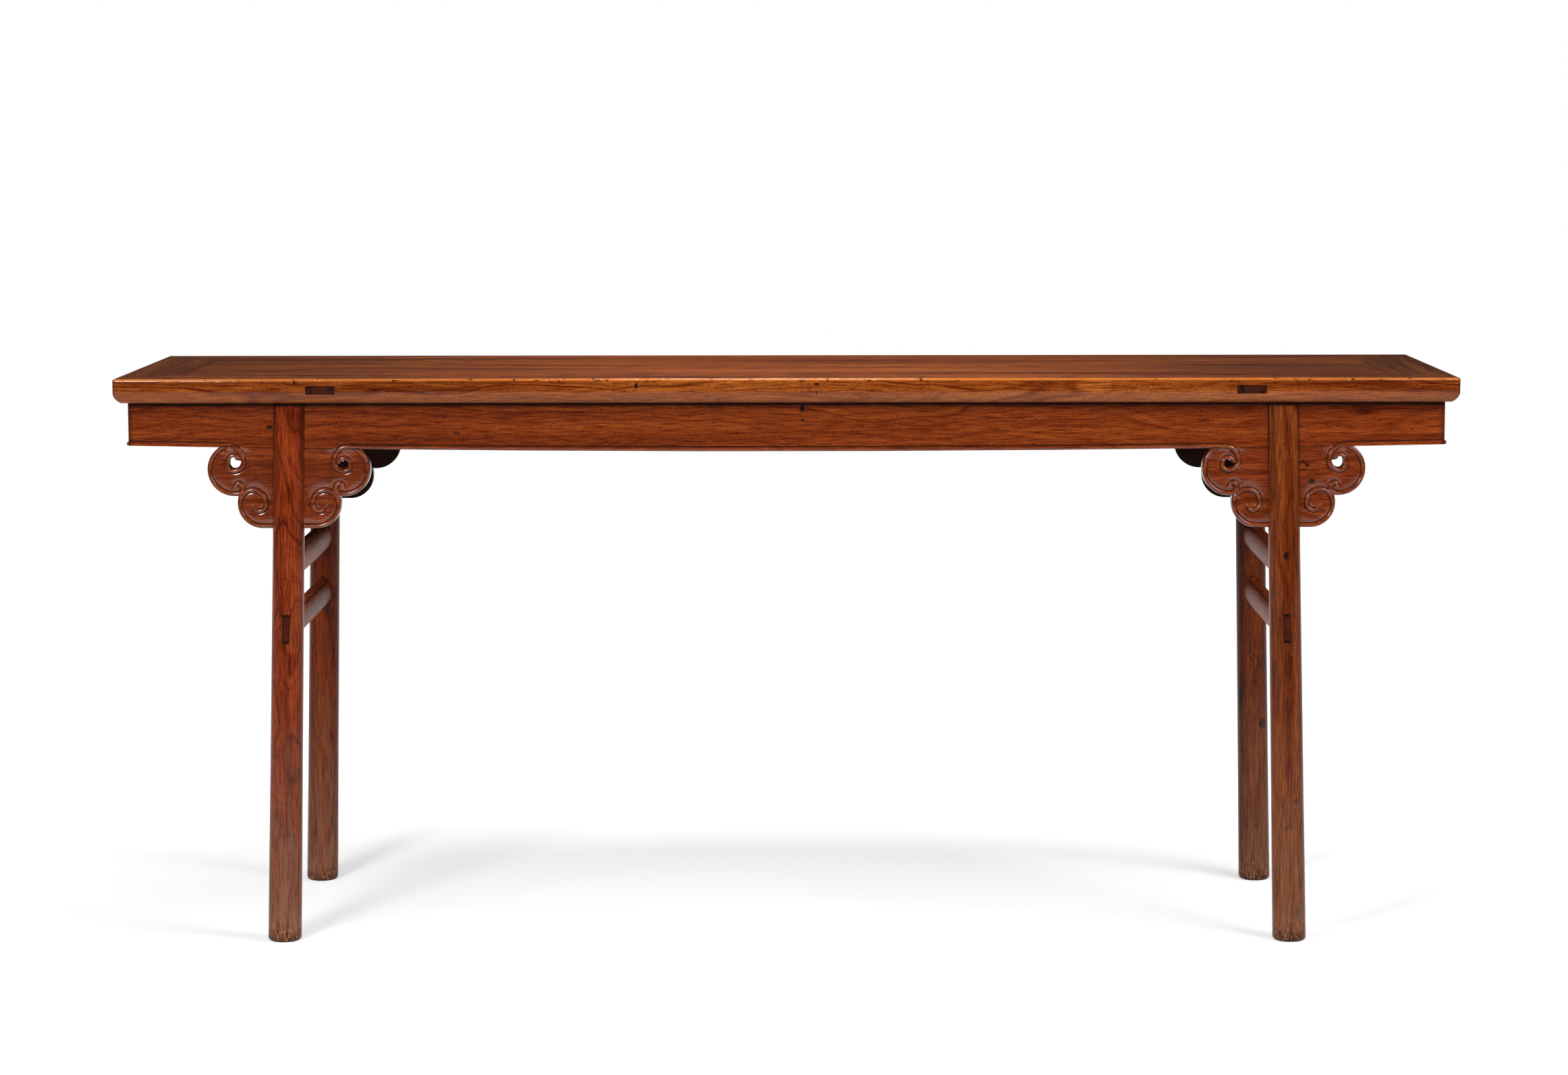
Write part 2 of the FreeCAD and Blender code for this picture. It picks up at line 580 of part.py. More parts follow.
def spandrel(post, scrolls):
    """Front right spandrel: one board through the leg's slot, with a carved wing on each side."""
    board = wing_board(1).fuse(wing_board(-1))
    beads = [upper_bead(1), upper_bead(-1), lower_bead(1), lower_bead(-1)]
    beads = [bead.cut(post) for bead in beads]
    carved = board.cut([eye(1), eye(-1)]).multiFuse(beads + scrolls)
    y_range = (-APRON_OUTER_Y - OVERCUT, -APRON_INNER_Y + OVERCUT)
    carved = carved.cut(above_apron_edge(APRON_HALF_LENGTH + BEAD_RADIUS + OVERCUT, y_range))
    return cleaned(carved.fuse(seam_tongue(0.0)))


def apron_tenon(grow):
    """Stub tenon in the mitre at the front right corner, from the end apron into the long one."""
    middle_x = APRON_HALF_LENGTH - APRON_THICKNESS / 2
    half = APRON_TENON_THICKNESS / 2
    middle_z = (UNDERSIDE + APRON_END_LOWEST) / 2
    z_range = (middle_z - APRON_TENON_HEIGHT / 2, middle_z + APRON_TENON_HEIGHT / 2)
    y_range = (-APRON_OUTER_Y + APRON_TENON_COVER, -APRON_INNER_Y)
    return block((middle_x - half, middle_x + half), y_range, z_range, grow)


def apron_bounds(half_length, half_depth):
    """Mitred bounds of a front apron that also take in the bead standing proud of it."""
    return mitred_bounds(half_length, half_depth, APRON_THICKNESS, (0, UNDERSIDE), BEAD_RADIUS)


def front_apron(scrolls):
    """Long front apron with its bead, mitred to the end aprons."""
    face_y = (-APRON_OUTER_Y, -APRON_INNER_Y)
    plan = rounded_plan(APRON_HALF_LENGTH, APRON_OUTER_Y, APRON_CORNER_ROUND, (0, UNDERSIDE))
    board = above_apron_edge(APRON_HALF_LENGTH, face_y).common(plan)
    proud = above_apron_edge(APRON_HALF_LENGTH + BEAD_RADIUS, (-APRON_OUTER_Y - BEAD_RADIUS, -APRON_INNER_Y))
    beads = [scroll.common(proud) for scroll in scrolls]
    beads += [across_x(bead) for bead in beads]
    apron = board.multiFuse(beads).common(apron_bounds(APRON_HALF_LENGTH, APRON_OUTER_Y))
    cuts = []
    for cutter in (seam_tongue(JOINT_FIT), apron_tenon(JOINT_FIT)):
        cuts += [cutter, across_x(cutter)]
    return cleaned(apron.cut(cuts))


def right_end_apron():
    """Short apron under the right-hand end rail, with the same bead along its straight lower edge."""
    plan = rounded_plan(APRON_HALF_LENGTH, APRON_OUTER_Y, APRON_CORNER_ROUND, (0, UNDERSIDE))
    x_range = (APRON_HALF_LENGTH - APRON_THICKNESS, APRON_HALF_LENGTH)
    board = block(x_range, (-APRON_OUTER_Y, APRON_OUTER_Y), (APRON_END_LOWEST, UNDERSIDE)).common(plan)
    half = APRON_OUTER_Y + BEAD_RADIUS
    start = Vec(APRON_HALF_LENGTH - BEAD_SINK, -half, APRON_END_LOWEST + BEAD_INSET)
    bead = Part.makeCylinder(BEAD_RADIUS, 2 * half, start, Y_AXIS)
    bounds = turned_to_end(apron_bounds(APRON_OUTER_Y, APRON_HALF_LENGTH))
    tenon = apron_tenon(0.0)
    return cleaned(board.fuse(bead).common(bounds).multiFuse([tenon, across_y(tenon)]))


def export(name, shape):
    """Write one node's solids."""
    shape.exportStep("parts/" + name + ".step")


def export_corners(name, front_right):
    """Write a front right piece and its three mirror images."""
    export(name + "_front_right", front_right)
    export(name + "_front_left", across_x(front_right))
    export(name + "_back_right", across_y(front_right))
    export(name + "_back_left", across_x(across_y(front_right)))


def build():
    """Make every piece and write it to its own file."""
    os.makedirs("parts", exist_ok=True)
    slab = moulded_slab()
    rail = front_rail(slab)
    export("top_rail_front", rail)
    export("top_rail_back", across_y(rail))
    end_rail = right_end_rail(slab)
    export("top_end_rail_right", end_rail)
    export("top_end_rail_left", across_x(end_rail))
    export("top_panel", panel())
    for number, (x, through) in enumerate(batten_places(), 1):
        export("batten_" + str(number), batten(x, through))
    export("batten_wedges", batten_wedges())

    post = leg_post()
    export_corners("leg", leg(post))
    for name, z, through in (("upper", UPPER_STRETCHER_Z, False), ("lower", LOWER_STRETCHER_Z, True)):
        bar = stretcher(z, through, post)
        export("stretcher_" + name + "_right", bar)
        export("stretcher_" + name + "_left", across_x(bar))

    scrolls = [eye_scroll(1, APRON_HALF_LENGTH + BEAD_RADIUS), eye_scroll(-1, 0.0)]
    export_corners("spandrel", spandrel(post, scrolls))
    apron = front_apron(scrolls)
    export("apron_front", apron)
    export("apron_back", across_y(apron))
    end_apron = right_end_apron()
    export("apron_end_right", end_apron)
    export("apron_end_left", across_x(end_apron))


build()
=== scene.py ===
"""Looks of a long painting table with recessed legs: carving, waxed hardwood finish and studio stage.

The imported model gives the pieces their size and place. Here the four cloud-scroll spandrels are carved in
relief, every other piece gets its finish, and a pale floor, soft lamps and the camera are set round them.
"""

import math

import bmesh
import bpy
import numpy as np
from bpy.props import FloatProperty, FloatVectorProperty, PointerProperty
from mathutils import Matrix, Vector
from mathutils.geometry import delaunay_2d_cdt


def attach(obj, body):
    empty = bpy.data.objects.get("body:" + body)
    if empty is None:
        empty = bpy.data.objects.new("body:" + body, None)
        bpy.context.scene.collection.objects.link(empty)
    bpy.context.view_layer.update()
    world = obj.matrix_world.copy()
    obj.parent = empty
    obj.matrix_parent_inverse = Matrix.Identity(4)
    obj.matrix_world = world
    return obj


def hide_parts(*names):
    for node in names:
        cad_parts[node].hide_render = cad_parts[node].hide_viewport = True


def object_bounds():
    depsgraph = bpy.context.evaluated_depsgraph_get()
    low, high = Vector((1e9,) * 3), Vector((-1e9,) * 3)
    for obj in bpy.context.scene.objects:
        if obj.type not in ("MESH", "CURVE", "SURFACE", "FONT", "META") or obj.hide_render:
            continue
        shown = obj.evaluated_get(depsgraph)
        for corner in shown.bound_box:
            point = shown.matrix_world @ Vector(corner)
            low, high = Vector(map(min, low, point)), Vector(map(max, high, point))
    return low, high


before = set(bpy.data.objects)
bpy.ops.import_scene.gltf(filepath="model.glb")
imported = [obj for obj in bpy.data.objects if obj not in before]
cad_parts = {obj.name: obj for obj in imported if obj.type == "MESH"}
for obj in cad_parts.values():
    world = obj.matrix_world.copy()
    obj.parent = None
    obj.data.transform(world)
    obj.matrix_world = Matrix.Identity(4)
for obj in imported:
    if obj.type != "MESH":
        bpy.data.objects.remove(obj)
CAD_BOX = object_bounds()

bl_info = {
    "name": "Painting table finish",
    "version": (1, 0, 0),
    "blender": (4, 5, 0),
    "location": "View3D > Sidebar > Table",
    "description": "Carves, finishes and stages a long painting table around its packed model",
    "category": "Object",
}

MM = 0.001

# Places that the construction fixes, in millimetres
UNDERSIDE = 825.0
RAIL_WIDTH = 96.0
BOARD_FACE = 228.0  # outer face of aprons and spandrels, from the middle of the table
BOARD_BACK = 210.0
WING_MIDDLE = 750.97  # along the table, where the two wings of a spandrel meet behind the leg
SPANDREL_BOTTOM = 633.3
APRON_HALF_LENGTH = 993.0
APRON_LOWEST = 749.5
APRON_ARC_RADIUS = 51902.8
LEG_HALF_WIDTH = 22.0  # of a leg where the face of the spandrel runs into it
LEG_FOOT_OUT = 768.2  # centre of a foot along the table
LEG_LEAN = 19.5 / 825  # how far a leg leans in towards the middle, for its height
LEG_SKIN = 235.0  # from the middle of the table; what lies further out is the outer side of a leg
LOWER_STRETCHER = 481.6  # height of its centre line
STRETCHER_SPACING = 91.0
STRETCHER_ARRIS = 18.0  # above the centre line, where the side turns into the top
MORTISE_HALF = (5.9, 22.4)  # along the table and up, where its tenon comes through a leg
TENON_HALF = (4.5, 18.2)  # of the end of the tenon, which has shrunk

# Single knots, bruises and splits: place on the table, and half size along, through and up
KNOTS = (
    ((793.8, -228, 703.4), (6, 20, 4.5)),
    ((780, -228, 734), (5, 20, 1.6)),
    ((786, -228, 728), (5, 20, 2.4)),
    ((781, -228, 721), (6, 20, 1.4)),
    ((-778.8, -228, 787.3), (6, 20, 3)),
    ((-224, -260, 851.9), (3, 9, 6)),
    ((46.4, -260, 853.6), (4, 9, 2)),
    ((45.7, -260, 841.1), (2, 9, 3)),
    ((-736.4, -260, 857.1), (2, 9, 5)),
    ((24.5, -228, 814.6), (4, 20, 7)),
    ((25.2, -228, 796.4), (3, 20, 2)),
    ((754.1, -246, 592.1), (5, 15, 6)),
    ((773.7, -248, 217.6), (4, 15, 5)),
    ((739.7, 210, 301.9), (3, 60, 26)),
    ((775.9, 210, 262.1), (8, 60, 9)),
)
KNOT_RAGGED = 6.0  # reach of the noise that frays their edges

# Outline of a wing and the turns of its beads, out from the leg's middle and up from the lower edge
LOWER_LOBE = (40.9, 37.6, 37.6)  # centre out, centre up, radius
UPPER_LOBE = (82.9, 89.1, 40.4)
BEAD_RADIUS = 3.25
BEAD_SINK = 1.25  # depth of its centre below the face
BEAD_INSET = 3.3  # from an edge to the bead's centre line
BEAD_FOOT = BEAD_RADIUS + 0.5  # from the centre line to the wax beside the bead
EYE_SCROLL = (68.0, 102.2)  # where its first turn points straight down
EYE_SCROLL_TURNS = (15.5, 9.0, 8.5)
EYE_SCROLL_END = (8.0, 52)  # radius, degrees
EYE_SCROLL_RUN = {1: 6.0, -1: 2.0}  # straight stretch beside the eye, outside and inside the leg
EYE_SCROLL_FIRST_TURN = {1: 24.1, -1: 21.5}  # where the apron's bead turns down, outside and inside the leg
STRAIGHT_BEAD = 91.0  # from the leg's middle to where that turn begins
UPPER_BEAD_START = 72.0
HOOK_RUN = 3.0
HOOK_TURNS = ((9.7, 90), (6.5, 90), (4.2, 90))
LOWER_SCROLL_TURNS = ((20.5, 90), (20.0, 90), (12.0, 90), (4.2, 90))
EYE_RADIUS = 6.6
EYE_RISE = 1.5  # of the slot's lower centre above that of the bead's second turn
EYE_TAIL_RADIUS = 11.4
EYE_TAIL_RISE = 1.2  # of the tail's flat upper side above the slot's upper centre
EYE_CURL_SEAT = 4.0  # wood left under the bead's curled end
CHORD = 1.2  # straight edges that follow the carved curves
BEAD_LANES = (1.1, 2.0, 2.7, 3.1, 3.3, 4.0, 4.9, 6.5, 9.0)  # where the section beside a bead changes
SEAM_CLEAR = 0.3  # least distance of a lobe's last point from the seam
SEAM_LANES = (0.85, 1.7)  # below the seam, where the wax in it thins out
SEAM_WAX = (1.9, 0.9)  # depth of the wax at the seam, and below it where it is one less
QUIRK_WAX = (0.35, 0.65)  # where the wax beside a bead's foot is deepest, and how far it spreads
SEAM_SETTLE = 6.0  # below the seam, where the face comes up level with the apron
FIELD_GRID = 4.0  # between points on the plain field
FIELD_HALF = 124  # half its length
EDGE_CLEAR = 0.35  # least distance of a loose point from an edge

# Growth zones of the wood: thickness, how far they wander and over what length in millimetres, darkest tone
FIGURED = (8.0, 130.0, 300.0, "#a1857a")
EVEN = (8.0, 130.0, 300.0, "#b89f94")
CALM = (8.0, 130.0, 300.0, "#c9b6ac")
STRAIGHT = (8.0, 60.0, 300.0, "#c0aaa0")
LEG_ZONES = {
    "leg_front_left": (6.0, 85.0, 170.0, "#a1857a"),
    "leg_front_right": (6.0, 40.0, 300.0, "#bda69b"),
    "leg_back_left": (6.0, 85.0, 170.0, "#a1857a"),
    "leg_back_right": (6.0, 85.0, 170.0, "#a1857a"),
}

# Rotations that bring the grain of a piece to the X axis of its texture, and that axis on the table
GRAIN_TURN = {"X": (0, 0, 0), "Y": (0, 0, -math.pi / 2), "Z": (0, math.pi / 2, 0)}
GRAIN_AXIS = {"X": (1, 0, 0), "Y": (0, 1, 0), "Z": (0, 0, 1)}
LOG_SPREAD = {"X": (2300, 410, 200), "Y": (2300, 410, 200), "Z": (1700, 8, 12)}  # of pieces, in millimetres
LEG_PITH = (0.758, 0.212, 0)  # from the middle of the table, in metres

# Stage in metres: corners of the floor, and each lamp's place, aim, size and setting for its power
FLOOR = ((-7, -3.2, 0), (7, -3.2, 0), (7, 8, 0), (-7, 8, 0))
LAMPS = {
    "key_lamp": ((-1.67, -3.09, 2.07), (0, -0.1, 0.6), 0.7, "key_power"),
    "fill_lamp": ((2.6, -1.75, 2.35), (0.1, 0, 0.6), 1.5, "fill_power"),
    "overhead_lamp": ((0, -0.2, 3.6), (0, 0, 0), 2.6, "sky_power"),
    "edge_lamp": ((-0.05, -0.22, 1.78), (0, -0.1, 0.8), 0.5, "edge_power"),
    "left_corner_lamp": ((-1.15, -0.85, 1.5), (-0.9, -0.25, 0.82), 0.3, "corner_power"),
    "right_corner_lamp": ((1.15, -0.9, 1.35), (0.9, -0.25, 0.8), 0.3, "corner_power"),
}
CAMERA_PLACE = (0.03008, -5.97463, 1.28257)
CAMERA_TURN = (0.115015, -0.005775, -0.001675)  # pitch, yaw and roll in radians
CAMERA_LENS = (87.82, 36)  # focal length and width of the sensor in millimetres


def linear(hex_colour):
    """Linear red, green and blue of an sRGB hex colour."""
    parts = [int(hex_colour[i : i + 2], 16) / 255 for i in (1, 3, 5)]
    return [p / 12.92 if p <= 0.04045 else ((p + 0.055) / 1.055) ** 2.4 for p in parts]


def colour(name, description, hex_colour):
    """Setting for a colour."""
    start = linear(hex_colour)
    return FloatVectorProperty(name=name, description=description, subtype="COLOR", default=start)


def length(name, description, millimetres):
    """Setting for a length."""
    return FloatProperty(name=name, description=description, unit="LENGTH", default=millimetres * MM)


def power(name, description, watts):
    """Setting for a lamp."""
    return FloatProperty(name=name, description=description, unit="POWER", default=watts)


class TableCarving(bpy.types.PropertyGroup):
    """Sizes of the spandrels' relief."""

    quirk_depth: length("Quirk depth", "Depth of the narrow groove cut beside each bead", 1.1)
    quirk_width: length("Quirk width", "Width of that groove, from the foot of the bead to the field", 1.6)
    field_fall: length("Field fall", "How far the field dips towards the beads, which makes it swell", 1.5)
    field_reach: length("Field reach", "Distance from a bead over which the field rises to the face", 7.0)


class TableFinish(bpy.types.PropertyGroup):
    """Colours and polish of the wood."""

    top_colour: colour("Top", "Palest fibre of the long rails and panel of the top", "#9e5720")
    end_rail_colour: colour("End rails", "Palest fibre of the end rails of the top", "#8e4f1e")
    apron_colour: colour("Aprons", "Palest fibre of the aprons", "#924619")
    carved_colour: colour("Spandrels", "Palest fibre of the carved spandrels", "#873f1a")
    leg_front_left_colour: colour("Front left leg", "Palest fibre of this leg", "#90401d")
    leg_front_right_colour: colour("Front right leg", "Palest fibre of this leg", "#8c4b21")
    leg_back_left_colour: colour("Back left leg", "Palest fibre of this leg", "#8b3f17")
    # painted shade: darker than the other legs, as the front right leg shades it
    leg_back_right_colour: colour("Back right leg", "Palest fibre of this leg", "#743816")
    stretcher_colour: colour("Stretchers", "Palest fibre of the stretchers", "#a04e26")
    hidden_colour: colour("Underside", "Palest fibre of the battens and of their wedged tenons", "#3d1d10")
    end_colour: colour("End grain", "Ends of the fibres where tenons come through", "#34140a")
    # Also a painted pale reflection of the floor on the lower legs
    dust_and_sheen_colour: colour("Dusty feet", "Dull, dusty wood of the lower legs", "#8d6a54")
    scuff_colour: colour("Foot scuffs", "Bare wood where the feet have been knocked", "#9c6c4d")
    grime_colour: colour("Foot grime", "Floor dirt on the last two centimetres of the feet", "#2e1a12")
    # Also the colour of painted shade: in corners, under the top, on inner faces, at the apron ends and
    # towards the ends of the top
    wax_and_shade_colour: colour("Old wax", "Blackened wax and dust in grooves and corners", "#170a07")
    # Also the colour of painted highlights on arrises and of painted light from the floor on the rim's
    # underside
    wear_and_light_colour: colour("Worn arris", "Wood rubbed pale along the arrises", "#b8692a")
    polish: FloatProperty(
        name="Polish roughness",
        description="Roughness of the waxed face between the pores",
        default=0.2,
        min=0.0,
        max=1.0,
        subtype="FACTOR",
    )


class TableStage(bpy.types.PropertyGroup):
    """Lamps and floor."""

    key_power: power("Key lamp", "Power of the soft lamp in front on the left", 87.0)
    fill_power: power("Fill lamp", "Power of the soft lamp in front on the right", 76.0)
    sky_power: power("Overhead lamp", "Power of the broad lamp above", 12.0)
    edge_power: power("Edge lamp", "Power of the lamp above that lights the front arris of the top", 17.0)
    corner_power: power("Corner lamps", "Power of each small lamp that lights a front corner", 3.2)
    floor_colour: colour("Floor", "Pale floor of the stage", "#cfcfcf")


def add(tree, kind, inputs=None, operation=None, stops=(), out=None, **settings):
    """Add a shader node and return one of its outputs: the first in use, unless another is named.

    Each input takes a value or the output of another node, and stops fill a colour ramp.
    """
    node = tree.nodes.new(f"ShaderNode{kind}")
    if operation:
        node.operation = operation
    for name, value in settings.items():
        setattr(node, name, value)
    for name, value in (inputs or {}).items():
        if isinstance(value, bpy.types.NodeSocket):
            tree.links.new(value, node.inputs[name])
        else:
            node.inputs[name].default_value = value
    for index, (place, tone) in enumerate(stops):
        element = node.color_ramp.elements[index] if index < 2 else node.color_ramp.elements.new(place)
        element.position = place
        element.color = (*linear(tone), 1)
    return node.outputs[out] if out else next((socket for socket in node.outputs if socket.enabled), None)


def empty_tree(holder):
    """Node tree of a new material or world, with nothing in it yet."""
    holder.use_nodes = True
    holder.node_tree.nodes.clear()
    return holder.node_tree


def table_axes(tree, mirrored=False, start=None):
    """X, Y and Z on the table in metres, or, mirrored, how far out from its middle, counted from a start."""
    place = add(tree, "TexCoord", out="Object")
    if mirrored:
        place = add(tree, "VectorMath", {0: place}, "ABSOLUTE")
    if start is not None:
        place = add(tree, "VectorMath", {0: place, 1: start}, "SUBTRACT")
    return add(tree, "SeparateXYZ", {0: place}).node.outputs


def place_in_log(tree, grain):
    """Millimetres with X along the grain, moved so that each piece comes from its own part of the log."""
    place = add(tree, "TexCoord", out="Object")
    if grain == "Z":  # a leg has the pith just behind its outer face, so that the figure comes out in peaks
        place = add(tree, "VectorMath", {0: place}, "ABSOLUTE")
        place = add(tree, "VectorMath", {0: place, 1: LEG_PITH}, "SUBTRACT")
    board = {"Vector": place, "Rotation": GRAIN_TURN[grain], "Scale": (1 / MM,) * 3}
    moved = {0: add(tree, "ObjectInfo", out="Random"), 1: LOG_SPREAD[grain], 2: add(tree, "Mapping", board)}
    return add(tree, "VectorMath", moved, "MULTIPLY_ADD")


def drift(tree, log, along, across, detail=2.0):
    """Value near a half that drifts over the wood, in patches of a length along and across the grain."""
    at = add(tree, "VectorMath", {0: log, 1: (1 / along, 1 / across, 1 / across)}, "MULTIPLY")
    return add(tree, "TexNoise", {"Vector": at, "Scale": 1.0, "Detail": detail})


def frayed(tree, log, value, reach, *patch):
    """Value that the drift of the wood raises by up to a reach, so that an edge set by it is ragged."""
    return add(tree, "Math", {0: drift(tree, log, *patch), 1: reach, 2: value}, "MULTIPLY_ADD")


def growth_zones(tree, log, zone, wander, reach, dark):
    """Tone of the growth zones, uneven bands round the pith, which wanders along the trunk."""
    bend = drift(tree, log, reach, 90).node.outputs["Color"]
    bend = add(tree, "VectorMath", {0: bend, 1: (0.5, 0.5, 0.5)}, "SUBTRACT")
    bent = add(tree, "VectorMath", {0: bend, 1: (0, wander, wander), 2: log}, "MULTIPLY_ADD")
    section = add(tree, "VectorMath", {0: bent, 1: (0, 1, 1)}, "MULTIPLY")
    from_pith = add(tree, "VectorMath", {0: section}, "LENGTH")
    spacing = {"W": from_pith, "Scale": 1 / zone, "Detail": 4.0, "Roughness": 0.62}
    bands = add(tree, "TexNoise", spacing, noise_dimensions="1D")
    return add(tree, "ValToRGB", {"Fac": bands}, stops=[(0.32, dark), (0.45, "#e6dad3"), (0.62, "#ffffff")])


def heart_streaks(tree, log, wide, dark):
    """Tone of the darker streaks of heartwood, two thirds of a metre long."""
    streaks = drift(tree, log, 650, wide, 4.0)
    return add(tree, "ValToRGB", {"Fac": streaks}, stops=[(0.33, dark), (0.5, "#eae0da"), (0.64, "#ffffff")])


def fibres(tree, log):
    """Tone of the fine fibre between the pores, in threads 1.4 mm wide and 35 mm long."""
    threads = drift(tree, log, 35, 1.4)
    return add(tree, "ValToRGB", {"Fac": threads}, stops=[(0.34, "#b0968a"), (0.6, "#ffffff")])


def pores(tree, log):
    """Tone of the pores: really 0.2 mm wide, drawn 0.7 mm wide and 4 mm long so that they show."""
    dashes = drift(tree, log, 4, 0.7, 1.0)
    return add(tree, "ValToRGB", {"Fac": dashes}, stops=[(0.3, "#80594a"), (0.4, "#ffffff")])


# Coats: each gives the share of the wood that it covers and the setting with its colour


def arris_wear_and_highlight(tree, log, grain):
    """Wood rubbed pale where hands and cloth pass over an arris, with a painted highlight along every edge.
    """
    # painted highlight: each edge, hollow or round, is lightened as if it caught the light
    rounded = add(tree, "Bevel", {"Radius": 2.5 * MM}, samples=6)
    face = add(tree, "NewGeometry", out="Normal")
    turn = add(tree, "VectorMath", {0: rounded, 1: face}, "DOT_PRODUCT")
    return add(tree, "ValToRGB", {"Fac": turn}, stops=[(0.86, "#909090"), (0.985, "#000000")]), "wear_and_light_colour"


def end_grain(tree, log, grain):
    """Ends of the fibres, which drink wax and go dark."""
    face = add(tree, "NewGeometry", out="True Normal")
    along = add(tree, "VectorMath", {0: face, 1: GRAIN_AXIS[grain]}, "DOT_PRODUCT")
    along = add(tree, "Math", {0: along}, "ABSOLUTE")
    return add(tree, "ValToRGB", {"Fac": along}, stops=[(0.55, "#000000"), (0.75, "#f2f2f2")]), "end_colour"


def corner_shade_and_wax(tree, log, grain):
    """Painted shade in the corners, from ambient occlusion, with blackened wax and dust that the cloth never
    reached.
    """
    # painted shade: how closely a corner is sheltered decides how dark it is painted
    shelter = add(tree, "AmbientOcclusion", {"Distance": 4 * MM}, out="AO", samples=8)
    shelter = frayed(tree, log, shelter, 0.3, 20, 6)
    return add(tree, "ValToRGB", {"Fac": shelter}, stops=[(0.8, "#e6e6e6"), (1.0, "#000000")]), "wax_and_shade_colour"


def shade_line(tree, log, grain):
    """Painted shade, with some dust and wax, in the last few millimetres under the top."""
    level = frayed(tree, log, table_axes(tree)["Z"], 4 * MM, 40, 8)
    # painted shade under the overhang of the top
    edge = {"Value": level, 1: (UNDERSIDE - 5.5) * MM, 2: (UNDERSIDE - 2.5) * MM, 3: 0.0, 4: 0.92}
    return add(tree, "MapRange", edge), "wax_and_shade_colour"


def bead_line(tree, log, grain):
    """Wax along the upper foot of an apron's bead, which follows a shallow arc, and in the seam under it."""
    axes = table_axes(tree, mirrored=True)
    out, height = axes["X"], axes["Z"]
    square = add(tree, "Math", {0: out, 1: out}, "MULTIPLY")
    level = add(tree, "Math", {0: square, 1: -1 / (2 * APRON_ARC_RADIUS * MM), 2: height}, "MULTIPLY_ADD")
    line = {0: level, 1: (APRON_LOWEST + BEAD_INSET + BEAD_FOOT) * MM, 2: 1.1 * MM}
    line = add(tree, "Math", line, "COMPARE")
    wing = add(tree, "Math", {0: out, 1: WING_MIDDLE * MM, 2: STRAIGHT_BEAD * MM}, "COMPARE")
    plain = add(tree, "Math", {0: 1.0, 1: wing}, "SUBTRACT")
    mask = add(tree, "Math", {0: line, 1: plain}, "MULTIPLY")
    for side, turn in EYE_SCROLL_FIRST_TURN.items():  # the quarter turns down into the wings
        centre_out = (WING_MIDDLE + side * (EYE_SCROLL[0] + turn)) * MM
        centre_up = (SPANDREL_BOTTOM + EYE_SCROLL[1]) * MM
        across = add(tree, "Math", {0: out, 1: centre_out}, "SUBTRACT")
        up = add(tree, "Math", {0: height, 1: centre_up}, "SUBTRACT")
        arm = add(tree, "VectorMath", {0: add(tree, "CombineXYZ", {0: across, 1: up})}, "LENGTH")
        bend = add(tree, "Math", {0: arm, 1: (turn + BEAD_FOOT) * MM, 2: 0.9 * MM}, "COMPARE")
        near = add(tree, "Math", {0: across, 1: 0.0}, "LESS_THAN" if side > 0 else "GREATER_THAN")
        bend = add(tree, "Math", {0: bend, 1: near}, "MULTIPLY")
        mask = add(tree, "Math", {0: mask, 1: bend}, "MAXIMUM")
    seam = add(tree, "Math", {0: level, 1: APRON_LOWEST * MM, 2: 1.1 * MM}, "COMPARE")
    wood = add(tree, "Math", {0: out, 1: WING_MIDDLE * MM, 2: EYE_SCROLL[0] * MM}, "COMPARE")
    seam = add(tree, "Math", {0: seam, 1: wood}, "MULTIPLY")
    mask = add(tree, "Math", {0: mask, 1: seam}, "MAXIMUM")
    return add(tree, "Math", {0: mask, 1: 0.8}, "MULTIPLY"), "wax_and_shade_colour"


def carried_down(tree, axes):
    """How far out along the table a point lies once it is carried down to the floor along a leg."""
    return add(tree, "Math", {0: axes["Z"], 1: LEG_LEAN, 2: axes["X"]}, "MULTIPLY_ADD")


def joint_line(tree, log, grain):
    """Joint between a board and a leg, filled with dark wax, its edge ragged from the saw."""
    out = carried_down(tree, table_axes(tree, mirrored=True))
    away = add(tree, "Math", {0: out, 1: LEG_FOOT_OUT * MM}, "SUBTRACT")
    away = add(tree, "Math", {0: away}, "ABSOLUTE")
    away = frayed(tree, log, away, 1.6 * MM, 8, 25)
    start, end = (LEG_HALF_WIDTH + 1.6) * MM, (LEG_HALF_WIDTH + 3.2) * MM
    return add(tree, "MapRange", {"Value": away, 1: start, 2: end, 3: 0.88, 4: 0.0}), "wax_and_shade_colour"


def mortise_gap(tree, log, grain):
    """Dark gap round the end of a lower stretcher's tenon, widest above and below it."""
    axes = table_axes(tree, mirrored=True)
    out = carried_down(tree, axes)
    boxes = []
    for half_width, half_height in (MORTISE_HALF, TENON_HALF):
        beside = add(tree, "Math", {0: out, 1: LEG_FOOT_OUT * MM, 2: half_width * MM}, "COMPARE")
        level = add(tree, "Math", {0: axes["Z"], 1: LOWER_STRETCHER * MM, 2: half_height * MM}, "COMPARE")
        boxes.append(add(tree, "Math", {0: beside, 1: level}, "MULTIPLY"))
    gap = add(tree, "Math", {0: boxes[0], 1: boxes[1]}, "SUBTRACT")
    outer = {"Value": axes["Y"], 1: LEG_SKIN * MM, 2: (LEG_SKIN + 1) * MM, 3: 0.0, 4: 0.9}
    outer = add(tree, "MapRange", outer)
    return add(tree, "Math", {0: gap, 1: outer}, "MULTIPLY"), "wax_and_shade_colour"


